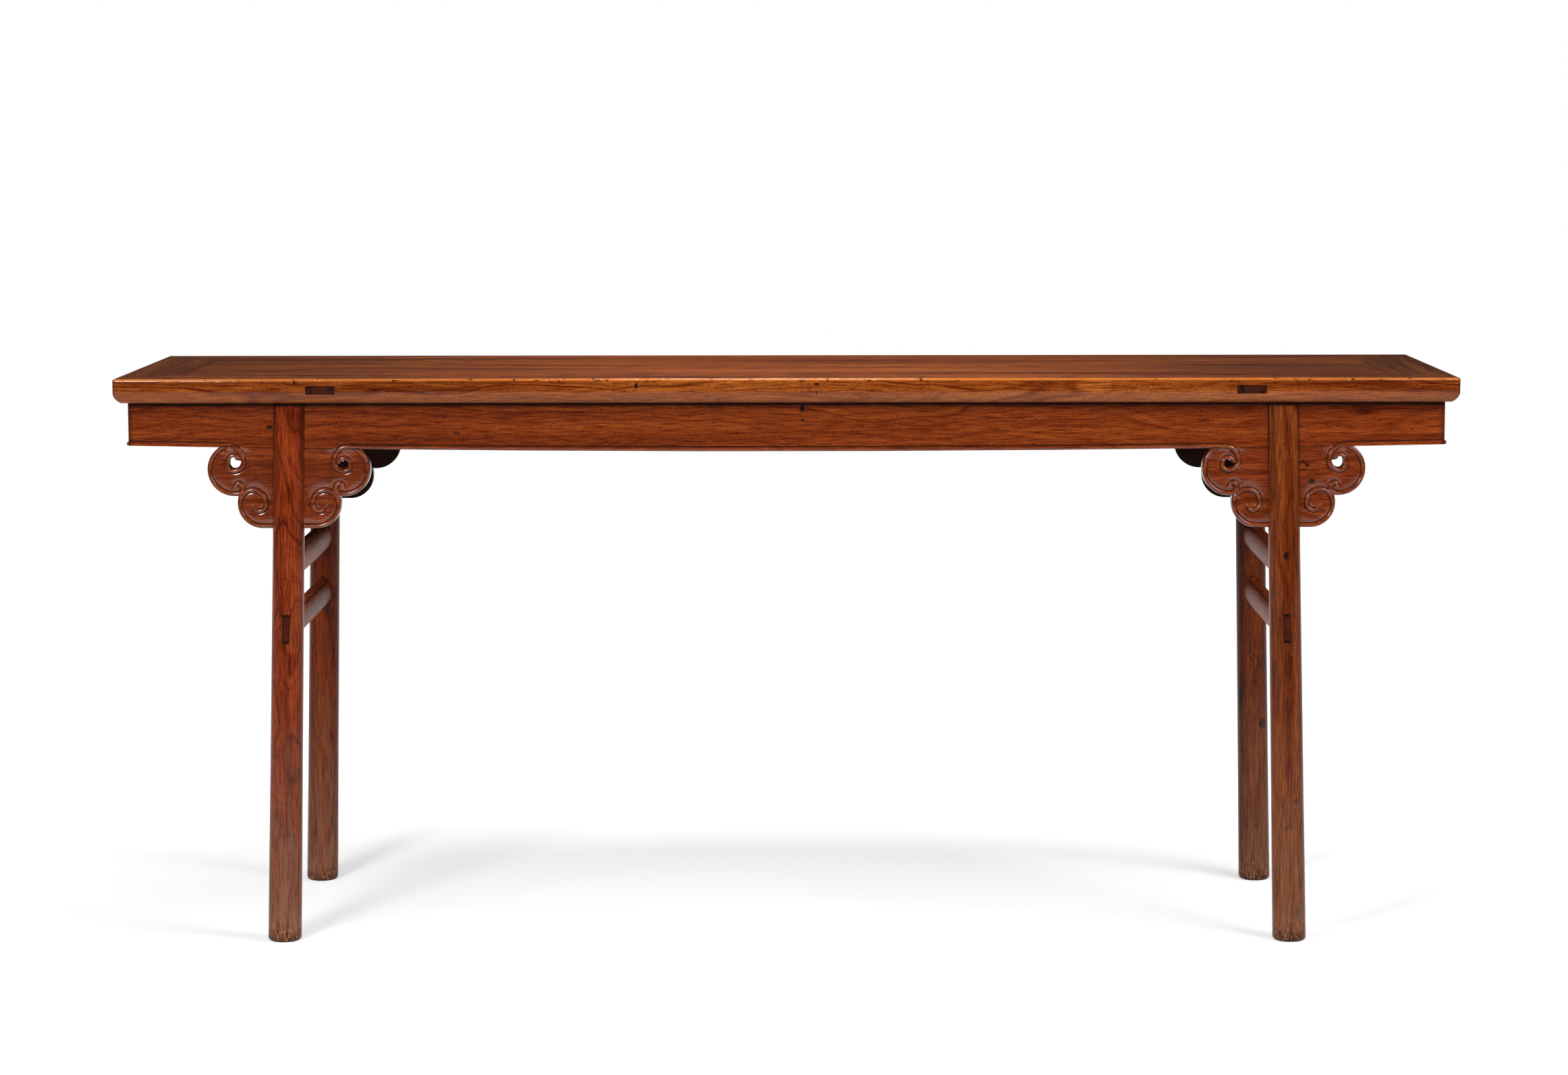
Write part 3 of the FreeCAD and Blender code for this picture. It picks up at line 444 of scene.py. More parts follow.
def arris_line(tree, log, grain):
    """Thin dark line along each stretcher, 18 mm above its centre line, where the side turns into the top."""
    lower = add(tree, "Math", {0: table_axes(tree)["Z"], 1: LOWER_STRETCHER * MM}, "SUBTRACT")
    reach = STRETCHER_SPACING / 2 * MM
    rise = add(tree, "Math", {0: lower, 1: reach, 2: -reach}, "WRAP")
    line = add(tree, "Math", {0: rise, 1: STRETCHER_ARRIS * MM, 2: 0.8 * MM}, "COMPARE")
    return add(tree, "Math", {0: line, 1: 0.85}, "MULTIPLY"), "wax_and_shade_colour"


def face_tilt(tree):
    """One on a face that looks straight up, zero on an upright one and minus one underneath."""
    return add(tree, "SeparateXYZ", {0: add(tree, "NewGeometry", out="Normal")}, out="Z")


def painted_bounce_under(tree, log, grain):
    """Underside of the rim, painted paler as light thrown up from the white floor would make it."""
    # painted light: faces that look down are lightened
    return add(tree, "MapRange", {"Value": face_tilt(tree), 1: -0.1, 2: -0.4, 3: 0.0, 4: 0.12}), "wear_and_light_colour"


def looks_up(tree):
    """One on a level face that looks up, zero once it tilts by a quarter of a right angle."""
    return add(tree, "MapRange", {"Value": face_tilt(tree), 1: 0.92, 2: 0.99})


def wax_film_and_painted_shade(tree, log, grain):
    """Film of old wax and dust on the top, wiped thin along the grain, with painted shade that makes it
    darker towards the ends and leaves the middle lighter.
    """
    out = table_axes(tree, mirrored=True)["X"]
    # painted shade: darker towards the ends, and a painted pool of light in the middle
    thick = add(tree, "MapRange", {"Value": out, 1: 0.25, 2: 0.8, 3: 0.38, 4: 0.75})
    thin_at, thick_at = (0.4, 0.6) if grain == "X" else (0.2, 0.8)  # nobody wipes along the end rails
    film = {"Value": drift(tree, log, 260, 10, 3.0), 1: thin_at, 2: thick_at, 3: 0.0, 4: thick}
    film = add(tree, "MapRange", film)
    return add(tree, "Math", {0: looks_up(tree), 1: film}, "MULTIPLY"), "wax_and_shade_colour"


def from_top_arris(tree):
    """Distance to the upper arris of the top, in metres."""
    axes = table_axes(tree, mirrored=True, start=CAD_BOX[1])
    side = add(tree, "Math", {0: axes["X"], 1: axes["Y"]}, "MAXIMUM")
    section = add(tree, "CombineXYZ", {0: side, 1: axes["Z"]})
    return add(tree, "VectorMath", {0: section}, "LENGTH")


def near_rim(tree, most):
    """Share that falls from its most on the upper arris of the top to nothing 8 mm away."""
    return add(tree, "MapRange", {"Value": from_top_arris(tree), 1: 3 * MM, 2: 8 * MM, 3: most, 4: 0.0})


def rim_wear_and_highlight(tree, log, grain):
    """Upper arris of the top, rubbed pale by sleeves, with a painted highlight along it."""
    # painted highlight along the rounded arris
    rim = {"Value": from_top_arris(tree), 1: 1.5 * MM, 2: 5 * MM, 3: 0.6, 4: 0.0}
    return add(tree, "MapRange", rim), "wear_and_light_colour"


def rim_dents(tree, log):
    """Knocks along the upper arris of the top, as a share of the bump's depth."""
    knocks = add(tree, "MapRange", {"Value": drift(tree, log, 14, 9), 1: 0.56, 2: 0.74})
    return add(tree, "Math", {0: near_rim(tree, 1.8), 1: knocks}, "MULTIPLY")


def chips(tree, log, grain):
    """Small chips and bruises along the upper arris of the top, filled with dark wax."""
    bites = add(tree, "MapRange", {"Value": drift(tree, log, 10, 6, 3.0), 1: 0.62, 2: 0.68, 3: 0.0, 4: 0.9})
    return add(tree, "Math", {0: near_rim(tree, 1.0), 1: bites}, "MULTIPLY"), "wax_and_shade_colour"


def frame_joints(tree, log, grain):
    """Hairline joints of the frame of the top, along the panel and across the mitred corners."""
    inner = [CAD_BOX[1][0] - RAIL_WIDTH * MM, CAD_BOX[1][1] - RAIL_WIDTH * MM, 0]
    axes = table_axes(tree, mirrored=True, start=inner)
    out = add(tree, "Math", {0: axes["X"], 1: axes["Y"]}, "MAXIMUM")
    panel = add(tree, "Math", {0: out, 1: 0.0, 2: 0.9 * MM}, "COMPARE")
    mitre = add(tree, "Math", {0: axes["X"], 1: axes["Y"], 2: 1.1 * MM}, "COMPARE")
    rail = add(tree, "Math", {0: out, 1: 0.0}, "GREATER_THAN")
    mitre = add(tree, "Math", {0: mitre, 1: rail}, "MULTIPLY")
    lines = add(tree, "Math", {0: panel, 1: mitre}, "MAXIMUM")
    return add(tree, "Math", {0: lines, 1: 0.7}, "MULTIPLY"), "wax_and_shade_colour"


def painted_shade_inside(tree, log, grain):
    """Inner faces of the boards, darkened with painted shade."""
    # painted shade on every face that looks in towards the middle of the table
    outward = {0: add(tree, "NewGeometry", out="Normal"), 1: add(tree, "TexCoord", out="Object")}
    outward = add(tree, "VectorMath", outward, "MULTIPLY")
    outward = add(tree, "SeparateXYZ", {0: outward}, out="Y")
    return add(tree, "MapRange", {"Value": outward, 1: -0.1, 2: -0.18, 3: 0.0, 4: 0.85}), "wax_and_shade_colour"


def flecks(tree, log, grain):
    """Pin knots and dark flecks, one in a hand's breadth or so."""
    at = add(tree, "VectorMath", {0: log, 1: (1 / 130, 1 / 60, 1 / 60)}, "MULTIPLY")
    jolt = add(tree, "TexNoise", {"Vector": at, "Scale": 9.0, "Detail": 2.0}, out="Color")
    at = add(tree, "VectorMath", {0: jolt, 1: (0.09, 0.09, 0.09), 2: at}, "MULTIPLY_ADD")
    spots = add(tree, "TexVoronoi", {"Vector": at, "Scale": 1.0}, out="Distance")
    return add(tree, "MapRange", {"Value": spots, 1: 0.045, 2: 0.065, 3: 0.8, 4: 0.0}), "end_colour"


def veins(tree, log, grain):
    """Thin dark veins and dry cracks along a leg, more of them towards the floor."""
    line = add(tree, "Math", {0: drift(tree, log, 200, 18, 3.0), 1: 0.5, 2: 0.009}, "COMPARE")
    low = add(tree, "MapRange", {"Value": table_axes(tree)["Z"], 1: 150 * MM, 2: 450 * MM, 3: 0.7, 4: 0.12})
    return add(tree, "Math", {0: line, 1: low}, "MULTIPLY"), "wax_and_shade_colour"


def knots(tree, log, grain):
    """Knots, bruises and splits with ragged edges, dark with old wax."""
    place = add(tree, "TexCoord", out="Object")
    ragged = add(tree, "TexNoise", {"Vector": place, "Scale": 0.15 / MM, "Detail": 3.0}, out="Color")
    place = add(tree, "VectorMath", {0: ragged, 1: (KNOT_RAGGED * MM,) * 3, 2: place}, "MULTIPLY_ADD")
    mask = 0.0
    for centre, half in KNOTS:
        centre = [(c + KNOT_RAGGED / 2) * MM for c in centre]
        away = add(tree, "VectorMath", {0: place, 1: centre}, "SUBTRACT")
        away = add(tree, "VectorMath", {0: away, 1: [h * MM for h in half]}, "DIVIDE")
        away = add(tree, "VectorMath", {0: away}, "LENGTH")
        dark = add(tree, "MapRange", {"Value": away, 1: 0.6, 2: 1.1, 3: 0.95, 4: 0.0})
        mask = add(tree, "Math", {0: mask, 1: dark}, "MAXIMUM")
    return mask, "wax_and_shade_colour"


def apron_end_shade(tree, log, grain):
    """Painted shade on the last few millimetres of a long apron, where its rounded end turns away."""
    out = frayed(tree, log, table_axes(tree, mirrored=True)["X"], 6 * MM, 20, 12, 3.0)
    # painted shade at the end of the apron
    start, end = (APRON_HALF_LENGTH - 6) * MM, (APRON_HALF_LENGTH + 2) * MM
    return add(tree, "MapRange", {"Value": out, 1: start, 2: end, 3: 0.0, 4: 0.75}), "wax_and_shade_colour"


def foot_dust_and_sheen(tree, log, grain):
    """Wax worn off towards the floor, where mops and shoes leave the wood dusty, with a painted pale
    reflection of the white floor, most on the left where more light falls.
    """
    axes = table_axes(tree)
    # painted light: stronger on the left legs than on the right
    most = add(tree, "MapRange", {"Value": axes["X"], 1: -0.7, 2: 0.7, 3: 1.15, 4: 0.8})
    low = add(tree, "MapRange", {"Value": axes["Z"], 1: 40 * MM, 2: 360 * MM, 3: most, 4: 0.0})
    patches = {"Value": drift(tree, log, 50, 4, 4.0), 1: 0.35, 2: 0.65, 3: 0.1, 4: 0.55}
    patches = add(tree, "MapRange", patches)
    return add(tree, "Math", {0: low, 1: patches}, "MULTIPLY"), "dust_and_sheen_colour"


def foot_grime(tree, log, grain):
    """Dark floor dirt soaked into the last two centimetres of the feet, with a ragged upper edge."""
    level = frayed(tree, log, table_axes(tree)["Z"], -50 * MM, 9, 7, 4.0)
    return add(tree, "MapRange", {"Value": level, 1: -20 * MM, 2: -4 * MM, 3: 0.7, 4: 0.0}), "grime_colour"


def foot_scuffs(tree, log, grain):
    """Bare tan scuffs on the feet, where shoes and brooms have knocked them."""
    low = add(tree, "MapRange", {"Value": table_axes(tree)["Z"], 1: 6 * MM, 2: 50 * MM, 3: 0.8, 4: 0.0})
    knocks = add(tree, "MapRange", {"Value": drift(tree, log, 9, 3, 5.0), 1: 0.53, 2: 0.62})
    return add(tree, "Math", {0: low, 1: knocks}, "MULTIPLY"), "scuff_colour"


def quirk_wax(tree, log, grain):
    """Old wax in the quirks of the carving, thinner here and there."""
    depth = add(tree, "Attribute", out="Fac", attribute_name="quirk")
    thin = add(tree, "MapRange", {"Value": drift(tree, log, 14, 14), 1: 0.3, 2: 0.65, 3: 0.3, 4: 0.7})
    return add(tree, "Math", {0: depth, 1: thin}, "MULTIPLY"), "wax_and_shade_colour"


def waxed_rosewood(
    name, grain, pale, coats, zones=FIGURED, streak=(20.0, "#b89e92"), gloss=0.4, rubbed=0.0, dents=None
):
    """Rosewood, planed by hand and waxed for generations.

    The eye sees uneven growth zones as streaks and peaks, short dark pores along the grain, a soft sheen that
    is duller in the pores and wavers over the plane's marks, and what use has left on top, with painted shade
    and painted highlights among it.
    """
    finish = bpy.context.scene.table_finish
    material = bpy.data.materials.new(name)
    tree = empty_tree(material)
    log = place_in_log(tree, grain)
    open_pores = pores(tree, log)
    wood = (*pale,)
    rings = growth_zones(tree, log, *zones)
    for tone in (rings, heart_streaks(tree, log, *streak), fibres(tree, log), open_pores):
        wood = add(tree, "VectorMath", {0: wood, 1: tone}, "MULTIPLY")
    for coat in coats:
        mask, setting = coat(tree, log, grain)
        layers = {"Factor": mask, 6: wood, 7: (*getattr(finish, setting), 1)}
        wood = add(tree, "Mix", layers, data_type="RGBA")

    # The plane left shallow hollows 30 mm wide, which bend the sheen; wax fills most of the pores
    hollows = drift(tree, log, 90, 30, 1.0)
    height = add(tree, "Math", {0: open_pores, 1: 0.02, 2: hollows}, "MULTIPLY_ADD")
    if dents:
        height = add(tree, "Math", {0: height, 1: dents(tree, log)}, "SUBTRACT")
    bump = add(tree, "Bump", {"Height": height, "Distance": 0.4 * MM})
    # Dust dulls the faces that look up; edges and arrises keep their polish
    dull = finish.polish + rubbed
    rough = add(tree, "MapRange", {"Value": looks_up(tree), 3: dull, 4: dull + 0.25})
    rough = add(tree, "Math", {0: open_pores, 1: -0.04, 2: rough}, "MULTIPLY_ADD")
    if dents:  # sleeves keep the rim brighter than the rest
        rim = add(tree, "MapRange", {"Value": from_top_arris(tree), 1: 2 * MM, 2: 6 * MM, 3: -0.09, 4: 0.0})
        rough = add(tree, "Math", {0: rough, 1: rim}, "ADD")
    surface = {"Base Color": wood, "Roughness": rough, "Normal": bump, "IOR": 1.5}
    surface["Specular IOR Level"] = gloss
    add(tree, "OutputMaterial", {"Surface": add(tree, "BsdfPrincipled", surface)})
    return material


def finish_nodes(material, *names):
    """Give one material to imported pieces."""
    for name in names:
        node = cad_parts[name]
        node.data.materials.clear()
        node.data.materials.append(material)


class CarvedLine:
    """Centre line of a bead on the face of a wing, drawn in straight runs and turns, in millimetres."""

    def __init__(self, out, up, heading):
        self.points = [(out, up)]
        self.heading = math.radians(heading)

    def run(self, reach):
        out, up = self.points[-1]
        steps = math.ceil(reach / CHORD)
        for step in range(1, steps + 1):
            share = reach * step / steps
            self.points.append((out + share * math.cos(self.heading), up + share * math.sin(self.heading)))

    def turn(self, radius, degrees):
        """Arc to the left of the heading, or to the right for a negative angle."""
        side = math.copysign(1, degrees)
        out, up = self.points[-1]
        centre_out = out - side * radius * math.sin(self.heading)
        centre_up = up + side * radius * math.cos(self.heading)
        steps = math.ceil(radius * math.radians(abs(degrees)) / CHORD)
        for step in range(1, steps + 1):
            angle = self.heading + math.radians(degrees) * step / steps
            across, down = side * radius * math.sin(angle), side * radius * math.cos(angle)
            self.points.append((centre_out + across, centre_up - down))
        self.heading += math.radians(degrees)


def arc(centre_out, centre_up, radius, start, end):
    """Points of an arc between two angles in degrees."""
    line = CarvedLine(
        centre_out + radius * math.cos(math.radians(start)),
        centre_up + radius * math.sin(math.radians(start)),
        start + math.copysign(90, end - start),
    )
    line.turn(radius, end - start)
    return line.points


def seam_up(out):
    """Height of the seam under the apron, above the spandrel's lower edge."""
    below_centre = math.sqrt(APRON_ARC_RADIUS**2 - (WING_MIDDLE + out) ** 2)
    return APRON_LOWEST + APRON_ARC_RADIUS - below_centre - SPANDREL_BOTTOM


def wing_beads(side):
    """The three beads of one wing: the apron's, which curls round the eye, and one round each lobe."""
    eye_out, eye_up = EYE_SCROLL
    first_turn = EYE_SCROLL_FIRST_TURN[side]
    scroll = CarvedLine(eye_out + first_turn, eye_up + first_turn, 180)
    down_turn, under_turn, over_turn = EYE_SCROLL_TURNS
    scroll.turn(first_turn, 90)
    scroll.turn(down_turn, 90)
    scroll.turn(under_turn, 90)
    scroll.run(EYE_SCROLL_RUN[side])
    scroll.turn(over_turn, 90)
    scroll.turn(*EYE_SCROLL_END)
    out, up, radius = UPPER_LOBE
    start = math.radians(UPPER_BEAD_START)
    radius -= BEAD_INSET
    upper = CarvedLine(out + radius * math.cos(start), up + radius * math.sin(start), UPPER_BEAD_START - 90)
    upper.turn(radius, -90 - UPPER_BEAD_START)
    upper.run(HOOK_RUN)
    for radius, degrees in HOOK_TURNS:
        upper.turn(radius, -degrees)
    out, up, radius = LOWER_LOBE
    lower = CarvedLine(LEG_HALF_WIDTH, BEAD_INSET, 0)
    lower.run(out - LEG_HALF_WIDTH)
    lower.turn(radius - BEAD_INSET, 90)
    for radius, degrees in LOWER_SCROLL_TURNS:
        lower.turn(radius, degrees)
    return [np.array(line.points) * (side, 1) for line in (scroll, upper, lower)]


def wing_outline(side):
    """Edge of one wing from below the leg round both lobes to the seam under the apron."""
    low_out, low_up, low_radius = LOWER_LOBE
    up_out, up_up, up_radius = UPPER_LOBE
    gap = math.hypot(up_out - low_out, up_up - low_up)
    tilt = math.degrees(math.atan2(up_up - low_up, up_out - low_out))
    at_low = math.degrees(math.acos((low_radius**2 + gap**2 - up_radius**2) / (2 * low_radius * gap)))
    at_up = math.degrees(math.acos((up_radius**2 + gap**2 - low_radius**2) / (2 * up_radius * gap)))
    line = CarvedLine(0, 0, 0)
    line.run(low_out)
    points = line.points + arc(low_out, low_up, low_radius, -90, tilt - at_low)[1:]
    points += arc(up_out, up_up, up_radius, tilt + at_up - 180, 90)[1:]
    points = [(side * out, up) for out, up in points]
    return [(out, up) for out, up in points if up < seam_up(out) - SEAM_CLEAR]


def eye_outline(side):
    """Pierced eye of the scroll: a slot with a tail towards the leg, clear of the bead's curled end."""
    down_turn, under_turn, _ = EYE_SCROLL_TURNS
    out = EYE_SCROLL[0] + down_turn
    low = EYE_SCROLL[1] - down_turn + under_turn + EYE_RISE
    high = low + EYE_SCROLL_RUN[side] - min(EYE_SCROLL_RUN.values())
    curl = wing_beads(side)[0][-1] * (side, 1)

    # The edge is where rays from the middle of the slot leave the wood that is cut away
    angles = np.radians(np.arange(0, 360, 4))
    reach = np.arange(0, 16, 0.02)
    rays = np.stack([np.cos(angles), np.sin(angles)], 1)[:, None] * reach[None, :, None]
    rays += (out, (low + high) / 2)
    across, up = rays[..., 0], rays[..., 1]
    slot = np.hypot(across - out, up - np.clip(up, low, high)) < EYE_RADIUS
    tail = np.hypot(across - out, up - EYE_SCROLL[1]) < EYE_TAIL_RADIUS
    tail &= (across < out) & (up < high + EYE_TAIL_RISE)
    seat = np.hypot(across - curl[0], up - curl[1]) < EYE_CURL_SEAT
    leave = np.argmin((slot | tail) & ~seat, axis=1)
    points = rays[np.arange(len(angles)), leave]
    return [(side * x, y) for x, y in points.tolist()]


def inside(loop, points):
    """Which points lie inside a closed loop."""
    loop = np.asarray(loop)
    nxt = np.roll(loop, -1, axis=0)
    found = np.zeros(len(points), bool)
    for (x0, y0), (x1, y1) in zip(loop, nxt):
        spans = (y0 > points[:, 1]) != (y1 > points[:, 1])
        if y1 != y0:
            found ^= spans & (points[:, 0] < (x1 - x0) * (points[:, 1] - y0) / (y1 - y0) + x0)
    return found


def distance(lines, points):
    """Distance from each point to the nearest of several lines."""
    nearest = np.full(len(points), 1e9)
    for line in lines:
        for start, step in zip(line[:-1], np.diff(line, axis=0)):
            share = np.clip((points - start) @ step / (step @ step), 0, 1)
            nearest = np.minimum(nearest, np.linalg.norm(points - start - share[:, None] * step, axis=1))
    return nearest


def bead_lanes(line):
    """Points beside a bead at the distances where its section changes."""
    along = np.gradient(line, axis=0)
    across = np.stack([-along[:, 1], along[:, 0]], 1) / np.linalg.norm(along, axis=1)[:, None]
    lanes = [line]
    for offset in BEAD_LANES:
        lanes += [line + offset * across, line - offset * across]
    return lanes


def relief_height(carving, away, below_seam):
    """Height of the carved face: round beads, a quirk beside them, and a field that swells between them."""
    foot = BEAD_RADIUS
    bead = np.sqrt(np.maximum(foot**2 - away**2, 0)) - BEAD_SINK
    past = np.maximum(away - foot, 0)
    field = -carving.field_fall / MM * np.exp(-past / (carving.field_reach / MM))
    quirk = carving.quirk_depth / MM * np.maximum(1 - past / (carving.quirk_width / MM), 0) ** 2
    settle = np.clip(below_seam / SEAM_SETTLE, 0, 1)
    return np.where(away < foot, bead, (field - quirk) * settle * settle * (3 - 2 * settle))


def carved_face(carving):
    """Triangles of a spandrel's carved face: places out and up, height, and how deep each is in a quirk."""
    right, left = wing_outline(1), wing_outline(-1)
    seam = [(out, seam_up(out)) for out in np.linspace(right[-1][0] - 0.2, left[-1][0] + 0.2, 120)]
    outline = right + seam + left[:0:-1]
    eyes = [eye_outline(side) for side in (1, -1)]
    beads = wing_beads(1) + wing_beads(-1)

    loose = []
    for number, line in enumerate(beads):
        others = beads[:number] + beads[number + 1 :]
        for lane in bead_lanes(line):
            own = distance([line], lane)
            expected = np.median(own)
            keep = (own > expected - 0.1) & (distance(others, lane) > own)
            loose.append(lane[keep])
    for drop in SEAM_LANES:
        loose.append(np.array([(out, up - drop) for out, up in seam]))
    steps = np.arange(-FIELD_HALF, FIELD_HALF + 1, FIELD_GRID)
    grid = np.array([(out, up) for out in steps for up in steps + FIELD_HALF / 2 if up > 0])
    loose.append(grid[distance(beads, grid) > BEAD_LANES[-1] + 2])
    loose = np.concatenate(loose)
    keep = inside(outline, loose) & (distance([np.array(outline + outline[:1])], loose) > EDGE_CLEAR)
    for eye in eyes:
        keep &= ~inside(eye, loose) & (distance([np.array(eye + eye[:1])], loose) > EDGE_CLEAR)

    corners, edges = [], []
    for loop in (outline, *eyes):
        first = len(corners)
        corners += loop
        edges += [(first + n, first + (n + 1) % len(loop)) for n in range(len(loop))]
    corners = np.concatenate([np.array(corners), loose[keep]])
    points, _, faces, _, _, _ = delaunay_2d_cdt([Vector(p) for p in corners], edges, [], 1, 1e-4)
    points = np.array([tuple(p) for p in points])
    faces = np.array([tuple(f) for f in faces])
    middles = points[faces].mean(1)
    faces = faces[inside(outline, middles) & ~inside(eyes[0], middles) & ~inside(eyes[1], middles)]
    away = distance(beads, points)
    quirk = np.exp(-(((away - BEAD_RADIUS - QUIRK_WAX[0]) / QUIRK_WAX[1]) ** 2))
    below_seam = np.array([seam_up(out) for out in points[:, 0]]) - points[:, 1]
    quirk = np.maximum(quirk, SEAM_WAX[0] - below_seam / SEAM_WAX[1])
    return points, relief_height(carving, away, below_seam), quirk, faces


class TABLE_OT_carve_spandrels(bpy.types.Operator):
    """Carve the four cloud-scroll spandrels in relief, in place of their plain boards"""

    bl_idname = "table.carve_spandrels"
    bl_label = "Carve spandrels"

    def execute(self, context):
        points, heights, quirk, faces = carved_face(context.scene.table_carving)
        for depth_name, depth in (("front", -1), ("back", 1)):
            for end_name, end in (("left", -1), ("right", 1)):
                name = f"spandrel_{depth_name}_{end_name}"
                x = end * (WING_MIDDLE + points[:, 0])
                y = depth * (BOARD_FACE + heights)
                z = SPANDREL_BOTTOM + points[:, 1]
                mesh = bpy.data.meshes.new(f"{name}_carved")
                mesh.from_pydata((np.stack([x, y, z], 1) * MM).tolist(), [], faces.tolist())
                depths = mesh.attributes.new("quirk", "FLOAT", "POINT").data
                depths.foreach_set("value", quirk.astype(np.float32))
                board = bmesh.new()
                board.from_mesh(mesh)
                rim = [edge for edge in board.edges if edge.is_boundary]
                walls = bmesh.ops.extrude_edge_only(board, edges=rim)["geom"]
                for vertex in walls:
                    if isinstance(vertex, bmesh.types.BMVert):
                        vertex.co.y = depth * BOARD_BACK * MM
                back = [e for e in walls if isinstance(e, bmesh.types.BMEdge) and e.is_boundary]
                bmesh.ops.triangle_fill(board, edges=back, use_beauty=True)
                bmesh.ops.recalc_face_normals(board, faces=board.faces)
                board.to_mesh(mesh)
                board.free()
                mesh.shade_smooth()
                mesh.set_sharp_from_angle(angle=math.radians(50))
                piece = bpy.data.objects.new(f"{name}_carved", mesh)
                context.scene.collection.objects.link(piece)
                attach(piece, "root")
                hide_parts(name)
        return {"FINISHED"}


class TABLE_OT_finish_top(bpy.types.Operator):
    """Wax the frame and panel of the top, its battens and their wedges"""

    bl_idname = "table.finish_top"
    bl_label = "Finish top"

    def execute(self, context):
        finish = context.scene.table_finish
        coats = (wax_film_and_painted_shade, painted_bounce_under, rim_wear_and_highlight, flecks, knots, frame_joints, chips, end_grain, corner_shade_and_wax)
        planed = {"zones": EVEN, "streak": (34.0, "#a3857a"), "gloss": 0.2, "dents": rim_dents}
        along = waxed_rosewood("rosewood_waxed_along", "X", finish.top_colour, coats, **planed)
        planed |= {"zones": STRAIGHT, "streak": (34.0, "#c9b6ac")}
        across = waxed_rosewood("rosewood_waxed_across", "Y", finish.end_rail_colour, coats, **planed)
        battens = waxed_rosewood("rosewood_planed_battens", "Y", finish.hidden_colour, coats)
        wedges = waxed_rosewood("rosewood_split_wedges", "Y", finish.hidden_colour, (corner_shade_and_wax,))
        finish_nodes(along, "top_rail_front", "top_rail_back", "top_panel")
        finish_nodes(across, "top_end_rail_left", "top_end_rail_right")
        finish_nodes(battens, *[f"batten_{number}" for number in range(1, 6)])
        finish_nodes(wedges, "batten_wedges")
        return {"FINISHED"}


class TABLE_OT_finish_aprons(bpy.types.Operator):
    """Wax the long and end aprons and the spandrels"""

    bl_idname = "table.finish_aprons"
    bl_label = "Finish aprons"

    def execute(self, context):
        finish = context.scene.table_finish
        pale = finish.apron_colour
        coats = (arris_wear_and_highlight, flecks, knots, corner_shade_and_wax, bead_line, shade_line, joint_line, painted_shade_inside)
        streak = (20.0, "#cbb8ae")
        along = waxed_rosewood("rosewood_waxed_aprons", "X", pale, (*coats, apron_end_shade), EVEN, streak)
        across = waxed_rosewood("rosewood_waxed_end_aprons", "Y", pale, coats, EVEN, streak)
        coats = (arris_wear_and_highlight, flecks, knots, quirk_wax, joint_line, painted_shade_inside)
        streak = (20.0, "#d6c7be")
        carved = waxed_rosewood("rosewood_carved_waxed", "X", finish.carved_colour, coats, CALM, streak)
        finish_nodes(along, "apron_front", "apron_back")
        finish_nodes(across, "apron_end_left", "apron_end_right")
        for depth in ("front", "back"):
            for end in ("left", "right"):
                bpy.data.objects[f"spandrel_{depth}_{end}_carved"].data.materials.append(carved)
        return {"FINISHED"}


class TABLE_OT_finish_legs(bpy.types.Operator):
    """Wax the legs and the stretchers between them"""

    bl_idname = "table.finish_legs"
    bl_label = "Finish legs"

    def execute(self, context):
        finish = context.scene.table_finish
        wear = (arris_wear_and_highlight, flecks, veins, knots, foot_dust_and_sheen, end_grain, corner_shade_and_wax, foot_grime, foot_scuffs)
        wear += (shade_line, mortise_gap)
        for leg, zones in LEG_ZONES.items():
            pale = getattr(finish, f"{leg}_colour")
            turned = waxed_rosewood(f"rosewood_waxed_{leg}", "Z", pale, wear, zones, gloss=0.08, rubbed=0.05)
            finish_nodes(turned, leg)
        pale = finish.stretcher_colour
        coats = (corner_shade_and_wax, arris_line, end_grain, mortise_gap)
        across = waxed_rosewood("rosewood_rubbed_stretchers", "Y", pale, coats, gloss=0.03, rubbed=0.23)
        finish_nodes(across, *[f"stretcher_{h}_{s}" for h in ("upper", "lower") for s in ("left", "right")])
        return {"FINISHED"}


def soft_lamp(name, place, aim, size, watts):
    """Square lamp behind a diffuser, turned to a point."""
    light = bpy.data.lights.new(name, "AREA")
    light.energy = watts
    light.size = size
    lamp = bpy.data.objects.new(name, light)
    lamp.location = place
    lamp.rotation_euler = (Vector(aim) - Vector(place)).to_track_quat("-Z", "Y").to_euler()
    bpy.context.scene.collection.objects.link(lamp)


def mirrored_rays(tree, rays):
    """One for rays that a polished or clear face sends on, zero for others."""
    return add(tree, "Math", {0: rays["Is Glossy Ray"], 1: rays["Is Transmission Ray"]}, "MAXIMUM")


def pale_floor(paint):
    """Painted plywood floor, matt and even: white to the eye, and it keeps the table's shadow.

    Away from the table, where the lamps no longer reach, the white backdrop takes over.
    """
    material = bpy.data.materials.new("plywood_painted_matt")
    tree = empty_tree(material)
    place = add(tree, "TexCoord", out="Object")
    oval = add(tree, "VectorMath", {0: place, 1: (0.45, 1, 1)}, "MULTIPLY")
    reach = add(tree, "VectorMath", {0: oval}, "LENGTH")
    glow = add(tree, "MapRange", {"Value": reach, 1: 0.45, 2: 1.35, 3: 0.5, 4: 1.0})
    rays = add(tree, "LightPath").node.outputs
    seen = add(tree, "Math", {0: mirrored_rays(tree, rays), 1: rays["Is Camera Ray"]}, "MAXIMUM")
    level = add(tree, "Math", {0: seen, 1: glow}, "MULTIPLY")
    matt = add(tree, "BsdfDiffuse", {"Color": (*paint, 1)})
    white = add(tree, "Emission", {"Strength": level})
    add(tree, "OutputMaterial", {"Surface": add(tree, "AddShader", {0: matt, 1: white})})
    return material


